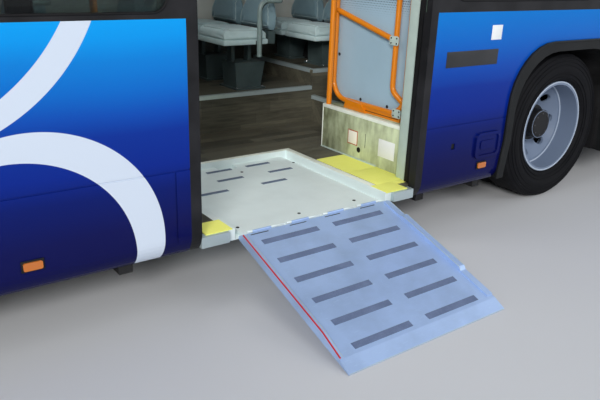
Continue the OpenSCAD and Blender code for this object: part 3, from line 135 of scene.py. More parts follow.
class Shader:
    """A node material round one Principled shader, with short calls for common node groups."""

    def __init__(self, name: str) -> None:
        """Start a material with an empty tree and one Principled shader.

        Args:
            name: Name of the material.
        """
        self.mat = bpy.data.materials.new(name)
        self.mat.use_nodes = True
        self.tree = self.mat.node_tree
        self.tree.nodes.clear()
        out = self.tree.nodes.new("ShaderNodeOutputMaterial")
        self.bsdf = self.tree.nodes.new("ShaderNodeBsdfPrincipled")
        self.tree.links.new(self.bsdf.outputs[0], out.inputs[0])
        self._coords: Optional[Socket] = None

    def _fill(self, socket: Socket, value: object) -> None:
        """Feed an input from an output, or set its value; a plain colour is made opaque.

        Args:
            socket: The input.
            value: An output's socket, a number, a vector or a colour.
        """
        if isinstance(value, Socket):
            self.tree.links.new(value, socket)
        elif socket.type == "RGBA":
            socket.default_value = (*value, 1.0)
        else:
            socket.default_value = value

    def set(self, **values: object) -> None:
        """Set inputs of the Principled shader; underscores stand for spaces in their names."""
        for key, value in values.items():
            self._fill(self.bsdf.inputs[key.replace("_", " ")], value)

    def node(self, kind: str, inputs: Optional[dict] = None, **attributes: object) -> bpy.types.Node:
        """Add a node.

        Args:
            kind: Node type without its ShaderNode prefix.
            inputs: Values or sockets by input name or index.
            **attributes: Properties set on the node.

        Returns:
            The new node.
        """
        made = self.tree.nodes.new("ShaderNode" + kind)
        for key, value in attributes.items():
            setattr(made, key, value)
        for key, value in (inputs or {}).items():
            self._fill(made.inputs[key], value)
        return made

    def coords(self, scale: Point = (1, 1, 1)) -> Socket:
        """Object coordinates, stretched by a mapping where a scale is given.

        Args:
            scale: Factor along each axis.

        Returns:
            The coordinates.
        """
        if self._coords is None:
            self._coords = self.node("TexCoord").outputs["Object"]
        if tuple(scale) == (1, 1, 1):
            return self._coords
        return self.node("Mapping", {"Vector": self._coords, "Scale": scale}).outputs[0]

    def axis(self, which: int) -> Socket:
        """One Object coordinate: 0 for X, 1 for Y and 2 for Z."""
        return self.node("SeparateXYZ", {0: self.coords()}).outputs[which]

    def math(self, kind: str, a: object, b: object = 0.0, clamp: bool = False) -> Socket:
        """A math node on two numbers or sockets."""
        return self.node("Math", {0: a, 1: b}, operation=kind, use_clamp=clamp).outputs[0]

    def plus(self, a: object, b: object, clamp: bool = False) -> Socket:
        """Sum of two numbers or sockets."""
        return self.math("ADD", a, b, clamp)

    def minus(self, a: object, b: object) -> Socket:
        """Difference of two numbers or sockets."""
        return self.math("SUBTRACT", a, b)

    def times(self, a: object, b: object) -> Socket:
        """Product of two numbers or sockets."""
        return self.math("MULTIPLY", a, b)

    def noise(self, size: float, detail: float = 3, scale: Point = (1, 1, 1)) -> Socket:
        """Noise whose features are about `size` metres across."""
        inputs = {"Vector": self.coords(scale), "Scale": 1 / size, "Detail": detail, "Roughness": 0.55}
        return self.node("TexNoise", inputs).outputs[0]

    def cells(self, size: float) -> Socket:
        """Distance pattern of small cells, `size` metres apart."""
        inputs = {"Vector": self.coords(), "Scale": 1 / size}
        return self.node("TexVoronoi", inputs, feature="F1").outputs[0]

    def wave(self, scale: float, axis: str, stretch: Point = (1, 1, 1)) -> Socket:
        """Smooth waves along one axis."""
        inputs = {"Vector": self.coords(stretch), "Scale": scale}
        return self.node("TexWave", inputs, bands_direction=axis).outputs[1]

    def lot(self, number: Socket) -> Socket:
        """A fixed random tone from 0 to 1 for each whole number."""
        return self.node("TexWhiteNoise", {"W": number}, noise_dimensions="1D").outputs[0]

    def span(self, value: object, low: float, high: float, to_low: float = 0, to_high: float = 1) -> Socket:
        """Map a value from one range to another, clamped."""
        return self.node("MapRange", {0: value, 1: low, 2: high, 3: to_low, 4: to_high}).outputs[0]

    def spread(self, noise: Socket, to_low: float = 0, to_high: float = 1) -> Socket:
        """Map the range that noise mostly keeps to, 0.3 to 0.7, to another."""
        return self.span(noise, 0.3, 0.7, to_low, to_high)

    def mix(self, share: object, a: object, b: object) -> Socket:
        """Mix two colours."""
        return self.node("Mix", {0: share, 6: a, 7: b}, data_type="RGBA").outputs[2]

    def ramp(self, value: Socket, stops: Sequence[tuple[float, Colour]]) -> Socket:
        """Colours that change with a value.

        Args:
            value: The value, from 0 to 1.
            stops: Two or more values with their colours, in rising order.

        Returns:
            The colour.
        """
        made = self.node("ValToRGB", {0: value})
        elements = made.color_ramp.elements
        for element, (place, colour) in zip(elements, (stops[0], stops[-1])):
            element.position, element.color = place, (*colour, 1)
        for place, colour in stops[1:-1]:
            elements.new(place).color = (*colour, 1)
        return made.outputs[0]

    def bump(self, height: Socket, distance: float, strength: float, over: Optional[Socket] = None) -> Socket:
        """A bump in the surface.

        Args:
            height: Pattern of the bump, from 0 to 1.
            distance: Its height in metres.
            strength: Share of the bump that shows.
            over: Another normal that it lies on.

        Returns:
            The normal.
        """
        inputs = {"Height": height, "Distance": distance, "Strength": strength}
        if over is not None:
            inputs["Normal"] = over
        return self.node("Bump", inputs).outputs[0]


def shade(colour: Colour, factor: float, lift: float = 0.0) -> Colour:
    """A lighter or darker tone of a colour."""
    return tuple(min(1.0, c * factor + lift) for c in colour)


@dataclass(frozen=True)
class Finish:
    """A named finish of one main colour. Each kind draws its own nodes."""

    name: str
    colour: Colour

    def make(self) -> bpy.types.Material:
        """Build the material.

        Returns:
            The material with its nodes.
        """
        shader = Shader(self.name)
        self.draw(shader)
        return shader.mat

    def draw(self, s: Shader) -> None:
        """Add the nodes of this kind of finish.

        Args:
            s: Shader of the material.
        """
        raise NotImplementedError


@dataclass(frozen=True)
class Paint(Finish):
    """Gloss or satin coach paint with a fine orange-peel surface and faint dust."""

    rough: float = 0.12
    coat: float = 1.0
    peel: float = 0.00004

    def draw(self, s: Shader) -> None:
        """Dust in the colour and the gloss, orange peel in the surface."""
        dust = s.noise(0.35, 5)
        pale = shade(self.colour, 1.25, 0.01)
        s.set(Base_Color=s.mix(s.span(dust, 0.3, 0.75, 0.0, 0.12), self.colour, pale))
        s.set(Coat_Weight=self.coat, Coat_Roughness=0.06, Specular_IOR_Level=0.3)
        s.set(Roughness=s.spread(dust, self.rough, self.rough + 0.08))
        s.set(Normal=s.bump(s.noise(0.012, 2), self.peel, 0.6))


@dataclass(frozen=True)
class Livery(Finish):
    """Blue coach paint with painted shade from azure at the waist line to navy at the skirt, with plain pale
    bands.

    The main colour is that of the bands. Each band is the space between two circles in the side
    view: (centre x, centre z, radius) of the outer and of the inner circle, in millimetres of the
    bus. The inner face of a lined panel is dark below a height and pale above it.
    """

    name: str = "livery_blue"
    colour: Colour = (0.62, 0.70, 0.82)
    lined: bool = False
    low_z: float = 0.25
    high_z: float = 1.25
    # Painted shade and sky reflection: one blue paint, navy at the skirt and azure at the waist line
    stops: tuple[tuple[float, Colour], ...] = (
        (0.0, (0.0035, 0.0045, 0.062)),
        (0.15, (0.0040, 0.0060, 0.080)),
        (0.31, (0.0024, 0.0105, 0.135)),
        (0.42, (0.0022, 0.0200, 0.245)),
        (0.56, (0.0026, 0.0300, 0.290)),
        (0.64, (0.0036, 0.0700, 0.420)),
        (0.73, (0.0026, 0.1350, 0.545)),
        (0.84, (0.0026, 0.2000, 0.640)),
        (0.92, (0.0012, 0.2900, 0.780)),
        (1.0, (0.0020, 0.3400, 0.850)),
    )
    bands: tuple[tuple[float, ...], ...] = (
        (3700, 1545, 760, 3810, 1625, 800),
        (3270, 355, 500, 3345, 300, 450),
        (6300, -420, 1500, 6390, -470, 1430),
        (-2600, 2350, 1800, -2620, 2440, 1800),
    )
    band_top: float = 1.6
    band_edge: float = 0.0015
    # Above this height the painted shade changes more slowly behind the middle doorway
    slow_z: float = 0.86
    slow_share: float = 0.42
    # Inside a lined panel: dark below lining_z and pale above it
    lining: Colour = (0.070, 0.070, 0.060)
    upper_lining: Colour = (0.74, 0.75, 0.70)
    lining_z: float = 0.98

    def _beside(self, s: Shader, x: float, z: float, radius: float, way: int) -> Socket:
        """Mask of all that lies on one side of a circle in the side view.

        Args:
            s: Shader of the material.
            x: Centre of the circle, ahead of the rear axle in millimetres.
            z: Height of its centre in millimetres.
            radius: Its radius in millimetres.
            way: 1 for the outside and -1 for the inside.

        Returns:
            The mask.
        """
        at = BUS.at(x, 0, z)
        dx, dz = s.minus(s.axis(0), at.x), s.minus(s.axis(2), at.z)
        square = s.plus(s.times(dx, dx), s.times(dz, dz))
        gap = s.times(s.minus(s.math("SQRT", square), radius / 1000), way)
        return s.span(gap, 0.0, self.band_edge)

    def draw(self, s: Shader) -> None:
        """Blue darkened by height as painted shade, with the bands over it, and the lining inside."""
        z = s.axis(2)
        slow = s.span(s.axis(0), BUS.at(1200, 0, 0).x, BUS.at(2700, 0, 0).x, self.slow_share, 0.0)
        over = s.math("MAXIMUM", s.minus(z, self.slow_z), 0.0)
        height = s.minus(z, s.times(over, slow))
        height = s.plus(height, s.spread(s.noise(1.3, 2, (0.7, 0.2, 1)), -0.03, 0.03))
        # Painted shade by height: the lower the paint, the darker the blue
        shaded_blue = s.ramp(s.span(height, self.low_z, self.high_z), self.stops)
        share: object = 0.0
        for band in self.bands:
            inside = self._beside(s, *band[:3], -1)
            share = s.math("MAXIMUM", share, s.times(inside, self._beside(s, *band[3:], 1)))
        share = s.times(share, s.math("LESS_THAN", z, self.band_top))
        colour = s.mix(share, shaded_blue, self.colour)
        rough = s.spread(s.noise(0.4, 5), 0.16, 0.24)
        if self.lined:
            off = s.math("ABSOLUTE", s.minus(s.axis(1), BUS.shift_y / 1000))
            inside = s.math("LESS_THAN", off, (BUS.inner_y + 1) / 1000)
            upper = s.math("GREATER_THAN", z, self.lining_z)
            wall = s.mix(upper, self.lining, self.upper_lining)
            worn = s.mix(upper, shade(self.lining, 1.2), shade(self.upper_lining, 0.92))
            colour = s.mix(inside, colour, s.mix(s.spread(s.noise(0.2, 4)), wall, worn))
            rough = s.math("MAXIMUM", rough, s.times(inside, 0.6))
        s.set(Base_Color=colour, Roughness=rough)
        s.set(Coat_Weight=0.16, Coat_Roughness=0.03, Specular_IOR_Level=0.06)
        s.set(Normal=s.bump(s.noise(0.9, 1), 0.0010, 0.35, s.bump(s.noise(0.01, 2), 0.00003, 0.5)))


@dataclass(frozen=True)
class Metal(Finish):
    """Bare metal with fine lines along one axis, scuffs and a few dull patches."""

    rough: float = 0.32
    lines: tuple[float, float, float] = (1, 30, 30)
    relief: float = 0.00003
    metallic: float = 1.0
    patches: float = 0.5

    def draw(self, s: Shader) -> None:
        """Brushed lines, with patches and scuffs in the colour."""
        brushed, patch = s.noise(0.09, 4, self.lines), s.noise(0.22, 4)
        scuff = s.span(s.noise(0.035, 6, (1, 6, 1)), 0.58, 0.72)
        tone = s.times(s.span(patch, 0.42, 0.72), self.patches)
        colour = s.mix(tone, self.colour, shade(self.colour, 0.78))
        scuffed = s.times(scuff, 0.25 * self.patches)
        s.set(Base_Color=s.mix(scuffed, colour, shade(self.colour, 1.3, 0.05)), Metallic=self.metallic)
        fine = s.spread(brushed, self.rough - 0.07, self.rough + 0.07)
        s.set(Roughness=s.plus(fine, s.span(patch, 0.4, 0.8, 0, 0.12)))
        s.set(Normal=s.bump(brushed, self.relief, 0.7))


@dataclass(frozen=True)
class Plastic(Finish):
    """Moulded plastic, powder coat or rubber with a fine grain."""

    rough: float = 0.5
    grain: float = 0.0016
    relief: float = 0.00006
    mottle: float = 0.25
    coat: float = 0.0
    gloss: float = 0.3

    def draw(self, s: Shader) -> None:
        """Mottled colour over a grain of small cells."""
        cloud = s.noise(0.16, 5)
        pale = shade(self.colour, 1 + self.mottle, 0.008 * self.mottle)
        dark = shade(self.colour, 1 - 0.5 * self.mottle)
        s.set(Base_Color=s.mix(s.spread(cloud), dark, pale), Specular_IOR_Level=self.gloss)
        s.set(Coat_Weight=self.coat, Coat_Roughness=0.1)
        s.set(Roughness=s.spread(cloud, self.rough - 0.06, self.rough + 0.08))
        s.set(Normal=s.bump(s.cells(self.grain), self.relief, 0.6))


@dataclass(frozen=True)
class StainedShaded(Finish):
    """Old floor covering on the box beside the doorway, with dark streaks, worn patches and painted shade at
    its far end.
    """

    name: str = "box_vinyl_shaded"
    colour: Colour = (0.66, 0.74, 0.50)
    dark: Colour = (0.115, 0.122, 0.060)

    def draw(self, s: Shader) -> None:
        """Streaks that run down, clouds, and painted shade that darkens the far end."""
        streak, cloud = s.noise(0.05, 5, (1, 1, 0.35)), s.noise(0.15, 4)
        # Painted shade: the end of the box away from the doorway is darker
        far = s.span(s.axis(1), BUS.at(0, 300, 0).y, BUS.at(0, 620, 0).y, 0.5, 0.0)
        tone = s.plus(s.span(streak, 0.35, 0.75, 0, 0.5), s.span(cloud, 0.35, 0.7, 0, 0.35), True)
        tone = s.plus(tone, far, True)
        s.set(Base_Color=s.mix(tone, self.colour, self.dark), Roughness=s.spread(cloud, 0.38, 0.55))
        s.set(Normal=s.bump(streak, 0.0004, 0.4), Specular_IOR_Level=0.35)


@dataclass(frozen=True)
class Glazing(Finish):
    """Tinted safety glass."""

    ior: float = 1.12

    def draw(self, s: Shader) -> None:
        """Tint with faint smears."""
        smear = s.noise(0.3, 4)
        s.set(Base_Color=s.mix(s.span(smear, 0.4, 0.8), self.colour, shade(self.colour, 0.9)))
        s.set(Transmission_Weight=1.0, IOR=self.ior, Coat_Weight=0.6, Coat_Roughness=0.02)
        s.set(Roughness=s.span(smear, 0.3, 0.8, 0.0, 0.02))


@dataclass(frozen=True)
class LampPlastic(Finish):
    """Clear or coloured lamp lens with moulded ribs, in one colour or in zones by height."""

    zones: tuple[tuple[float, Colour], ...] = ()

    def draw(self, s: Shader) -> None:
        """Zones by height, with painted shade between the ribs."""
        wave = s.wave(26.0, "Y", (0, 1, 0))
        colour: object = self.colour
        for top, tone in self.zones:
            colour = s.mix(s.math("GREATER_THAN", s.axis(2), top), colour, tone)
        # Painted shade between the ribs
        rib_shade = s.times(wave, 0.35)
        s.set(Base_Color=s.mix(rib_shade, colour, (0.02, 0.02, 0.02)), Roughness=0.08)
        s.set(Normal=s.bump(wave, 0.0012, 0.5), Coat_Weight=1.0, Coat_Roughness=0.03)


@dataclass(frozen=True)
class Planks(Finish):
    """Wood-look vinyl floor: planks along the bus with grain and thin joints."""

    name: str = "floor_planks"
    colour: Colour = (0.165, 0.155, 0.112)
    dark: Colour = (0.042, 0.041, 0.032)
    width: float = 0.075
    length: float = 0.55

    def draw(self, s: Shader) -> None:
        """Grain, a tone for each plank and the joints between them."""
        grain, broad = s.noise(0.016, 6, (0.10, 1, 1)), s.noise(0.14, 3, (0.3, 1.4, 1.4))
        across = s.math("DIVIDE", s.plus(s.axis(1), s.axis(2)), self.width)
        row = s.math("FLOOR", across)
        stagger = s.times(s.lot(row), 3.0)
        along = s.plus(s.math("DIVIDE", s.axis(0), self.length), stagger)
        plank = s.plus(s.times(s.math("FLOOR", along), 7.31), row)
        edge, end = (s.math("ABSOLUTE", s.minus(s.math("FRACT", way), 0.5)) for way in (across, along))
        joint = s.math("MAXIMUM", s.span(edge, 0.485, 0.5), s.span(end, 0.497, 0.5))
        blend = s.plus(s.times(grain, 0.55), s.times(broad, 0.3))
        blend = s.plus(blend, s.span(s.lot(plank), 0, 1, -0.16, 0.16), True)
        wood = s.mix(s.span(blend, 0.25, 0.75), self.dark, self.colour)
        s.set(Base_Color=s.mix(s.times(joint, 0.7), wood, shade(self.dark, 0.5)))
        s.set(Roughness=s.spread(grain, 0.42, 0.58), Specular_IOR_Level=0.35)
        over = s.bump(s.minus(1.0, joint), 0.0006, 0.7)
        s.set(Normal=s.bump(grain, 0.0003, 0.4, over))


@dataclass(frozen=True)
class Vinyl(Finish):
    """Soft seat vinyl with a fine leather grain and worn, paler high spots."""

    accent: Colour
    grain: float = 0.0030
    sheen: float = 0.15

    def draw(self, s: Shader) -> None:
        """Wear and pores in the colour, pores over creases in the surface."""
        wear, crease, pores = s.noise(0.12, 5), s.noise(0.03, 4), s.cells(self.grain)
        tone = s.plus(s.span(wear, 0.35, 0.7, 0, 0.8), s.times(pores, 0.2), True)
        s.set(Base_Color=s.mix(tone, self.colour, self.accent), Sheen_Weight=self.sheen)
        s.set(Roughness=s.spread(wear, 0.40, 0.56), Specular_IOR_Level=0.4)
        s.set(Normal=s.bump(pores, 0.00022, 0.7, s.bump(crease, 0.0012, 0.35)))


@dataclass(frozen=True)
class Weave(Finish):
    """Woven cloth with a small two-tone check."""

    accent: Colour
    pitch: float = 0.004

    def draw(self, s: Shader) -> None:
        """Crossed waves for the threads, worn in patches."""
        warp, weft, rise = (s.wave(0.16 / self.pitch, way) for way in "XYZ")
        cross = s.math("MAXIMUM", s.times(warp, weft), s.times(rise, weft))
        wear = s.noise(0.1, 4)
        tone = s.plus(s.times(cross, 0.5), s.span(wear, 0.35, 0.7, 0, 0.4), True)
        s.set(Base_Color=s.mix(tone, self.colour, self.accent), Sheen_Weight=0.3)
        s.set(Roughness=s.spread(wear, 0.62, 0.8), Normal=s.bump(cross, 0.0005, 0.7))


@dataclass(frozen=True)
class Grit(Finish):
    """Anti-slip mineral surface with scuffs."""

    grain: float = 0.0035
    wear: float = 0.5

    def draw(self, s: Shader) -> None:
        """Grains in the colour and the surface, paler where worn."""
        cells = s.cells(self.grain)
        worn = s.span(s.noise(0.06, 5), 0.42, 0.72, 0, self.wear)
        tone = s.plus(s.times(cells, 0.4), worn, True)
        s.set(Base_Color=s.mix(tone, self.colour, shade(self.colour, 1.6, 0.03)), Roughness=0.85)
        s.set(Normal=s.bump(cells, 0.0008, 0.8), Specular_IOR_Level=0.3)


@dataclass(frozen=True)
class Tread(Finish):
    """Tyre rubber with dust in its grooves."""

    name: str = "tyre_compound"
    colour: Colour = (0.0055, 0.0058, 0.0075)
    dusty: Colour = (0.014, 0.014, 0.016)

    def draw(self, s: Shader) -> None:
        """Dust in patches over dull rubber."""
        dust = s.noise(0.12, 5)
        s.set(Base_Color=s.mix(s.span(dust, 0.4, 0.75, 0, 0.55), self.colour, self.dusty))
        s.set(Roughness=s.spread(dust, 0.62, 0.8), Specular_IOR_Level=0.12)
        s.set(Normal=s.bump(s.noise(0.004, 3), 0.0003, 0.5))


@dataclass(frozen=True)
class Dotted(Finish):
    """Pale blue-grey board whose top fades into a pattern of small dark dots."""

    name: str = "dotted_board"
    colour: Colour = (0.33, 0.47, 0.58)
    ink: Colour = (0.030, 0.040, 0.075)
    pitch: float = 0.013
    start: float = 1.14
    full: float = 1.30

    def draw(self, s: Shader) -> None:
        """Staggered rows of dots that grow with the height."""
        z = s.axis(2)
        rise = s.math("DIVIDE", z, self.pitch)
        stagger = s.times(s.math("MODULO", s.math("FLOOR", rise), 2.0), 0.5)
        across = s.plus(s.math("DIVIDE", s.axis(1), self.pitch), stagger)
        u, v = (s.minus(s.math("FRACT", way), 0.5) for way in (across, rise))
        away = s.math("SQRT", s.plus(s.times(u, u), s.times(v, v)))
        size = s.span(z, self.start, self.full, 0.0, 0.42)
        dot = s.span(s.minus(size, away), 0.0, 0.04)
        cloud = s.noise(0.3, 3)
        base = s.mix(s.spread(cloud), self.colour, shade(self.colour, 1.12))
        s.set(Base_Color=s.mix(dot, base, self.ink), Roughness=0.3, Coat_Weight=0.2)
        s.set(Normal=s.bump(cloud, 0.0004, 0.3))


@dataclass(frozen=True)
class Floorcloth(Finish):
    """Plain pale studio floor, which takes the colour of the world far from the bus."""

    name: str = "studio_floor"
    colour: Colour = (0.60, 0.61, 0.63)
    fade: tuple[float, float] = (9.0, 30.0)

    def draw(self, s: Shader) -> None:
        """Faint clouds near the bus and the world's colour far from it."""
        away = s.node("VectorMath", {0: s.coords((1, 1, 0))}, operation="LENGTH").outputs["Value"]
        seen = s.node("LightPath").outputs["Is Camera Ray"]
        far = s.times(s.span(away, *self.fade), seen)
        near = s.mix(s.spread(s.noise(1.5, 3)), self.colour, shade(self.colour, 1.03))
        s.set(Base_Color=s.mix(far, near, (0.0, 0.0, 0.0)), Roughness=0.9, Specular_IOR_Level=0.2)
        s.set(Emission_Color=SKY, Emission_Strength=s.times(far, SKY_SEEN))


class Looks:
    """Every finish of the bus, built once and read by name."""

    FINISHES = {
        "livery": Livery(),
        "livery_lined": Livery("livery_lined", lined=True),
        "frame": Plastic("frame_black", (0.012, 0.012, 0.014), 0.42, 0.0009, 0.00002, 0.5, 0.0, 0.2),
        "trim": Plastic("trim_black", (0.009, 0.010, 0.011), 0.55, 0.0014, 0.00006, 0.4, 0.0, 0.2),
        "seal": Plastic("seal_rubber", (0.006, 0.006, 0.007), 0.62, 0.002, 0.00005, 0.3, 0.0, 0.2),
        "glass": Glazing("window_tint", (0.34, 0.39, 0.40)),
        "leaf_glass": Glazing("door_glass", (0.46, 0.56, 0.52)),
        "clear_glass": Glazing("windscreen_tint", (0.72, 0.80, 0.80)),
        "mirror": Metal("mirror_glass", (0.75, 0.78, 0.80), 0.09, (1, 1, 1), 0.000001, 1.0, 0.1),
        # Ramp aluminium tinted blue as painted shade and sky reflection
        "aluminium": Metal("aluminium_sky_shade", (0.40, 0.55, 0.84), 0.38, (1, 30, 30), 0.00004, 0.35, 0.85),
        # Tray and edges: the same aluminium made pale as painted sunlight
        "tray": Metal("tray_aluminium_sunlit", (0.80, 0.90, 0.90), 0.42, (1, 30, 30), 0.00004, 0.1, 0.4),
        "bright": Metal("edge_aluminium_sunlit", (0.50, 0.60, 0.62), 0.34, (1, 40, 40), 0.00002, 0.45, 0.35),
        "nosing": Plastic("white_nosing", (0.84, 0.88, 0.80), 0.4, 0.002, 0.00003, 0.1),
        "floor": Planks(),
        "chassis": Plastic("chassis_paint", (0.012, 0.012, 0.013), 0.6, 0.004, 0.00012, 0.6, 0.0, 0.25),
        "iron": Metal("engine_casting", (0.10, 0.10, 0.105), 0.6, (20, 20, 20), 0.0002, 0.6),
        "roof": Plastic("unit_white", (0.66, 0.68, 0.69), 0.4, 0.003, 0.00006, 0.1),
        "lamp": LampPlastic("lens_clear", (0.62, 0.66, 0.70)),
        "tail": LampPlastic(
            "lens_tail", (0.60, 0.61, 0.62), ((0.79, (0.50, 0.010, 0.010)), (0.98, (0.75, 0.20, 0.01)))
        ),
        "amber": LampPlastic("lens_amber", (0.75, 0.20, 0.01)),
        "tyre": Tread(),
        # Wheel silver made dark blue as painted shade; the lip is a paler copy as painted highlight
        "rim": Paint("wheel_silver_shaded", (0.165, 0.215, 0.31), 0.34, 0.25, 0.00008),
        "rim_lip": Paint("wheel_lip_highlight", (0.40, 0.47, 0.58), 0.3, 0.3, 0.00005),
        # One seat vinyl: pale on the cushions as painted sunlight, dark on the backs as painted shade
        "seat": Vinyl("seat_vinyl_sunlit", (0.48, 0.63, 0.65), (0.58, 0.72, 0.73)),
        "seat_back": Vinyl("back_vinyl_shaded", (0.170, 0.275, 0.330), (0.225, 0.335, 0.380)),
        "piping": Plastic("seat_piping", (0.38, 0.49, 0.50), 0.5, 0.002, 0.00004),
        "driver": Weave("driver_cloth", (0.030, 0.036, 0.055), (0.07, 0.075, 0.10)),
        "handle": Plastic("handle_grey", (0.20, 0.27, 0.265), 0.32, 0.002, 0.00003, 0.15, 0.3, 0.5),
        "shell": Plastic("seat_shell", (0.046, 0.068, 0.070), 0.42, 0.0018, 0.00006, 0.4, 0.1, 0.45),
        "orange": Paint("rail_orange", (0.72, 0.215, 0.004), 0.3, 0.5, 0.00005),
        "board": Dotted(),
        "yellow": Grit("yellow_tread", (0.90, 0.92, 0.18), 0.005, 0.15),
        "grit_pale": Grit("tray_tread", (0.10, 0.135, 0.20), 0.0035, 0.3),
        "grit": Grit("grey_tread", (0.095, 0.130, 0.225), 0.0035, 0.35),
        "dash": Plastic("dash_grain", (0.018, 0.019, 0.021), 0.6, 0.003, 0.0001, 0.25, 0.0, 0.3),
        "box": StainedShaded(),
        "post": Plastic("post_green", (0.46, 0.56, 0.52), 0.4, 0.003, 0.00004, 0.15),
        "plate": Plastic("blank_white", (0.84, 0.86, 0.88), 0.35, 0.002, 0.00002, 0.05),
        "plate_warm": Plastic("blank_warm", (0.90, 0.86, 0.77), 0.4, 0.002, 0.00002, 0.08),
        "red_edge": Plastic("edge_red", (0.45, 0.09, 0.03), 0.45, 0.002, 0.00002, 0.1),
        "leaf_edge": Metal("leaf_aluminium", (0.16, 0.23, 0.19), 0.42, (1, 1, 30), 0.00002, 0.4, 0.4),
        "lamp_strip": Plastic("lamp_opal", (0.78, 0.80, 0.80), 0.35, 0.004, 0.00002, 0.05),
        "plate_grey": Plastic("blank_grey", (0.030, 0.031, 0.034), 0.4, 0.002, 0.00002, 0.15),
        "red_line": Paint("line_red", (0.52, 0.010, 0.016), 0.35, 0.3),
        "headlining": Plastic("headlining", (0.50, 0.51, 0.49), 0.6, 0.004, 0.00008, 0.1),
        "chrome": Metal("bright_steel", (0.66, 0.68, 0.70), 0.16, (1, 1, 20), 0.00001, 1.0, 0.2),
        "bolt": Plastic("bolt_black", (0.008, 0.008, 0.009), 0.4, 0.002, 0.00002, 0.3),
        "stage": Floorcloth(),
    }

    def __init__(self) -> None:
        """Start with no material made."""
        self._made: dict[str, bpy.types.Material] = {}

    def __getitem__(self, name: str) -> bpy.types.Material:
        """Return the named finish, making it on first use.

        Args:
            name: Key of the finish.

        Returns:
            The material.
        """
        if name not in self._made:
            self._made[name] = self.FINISHES[name].make()
        return self._made[name]


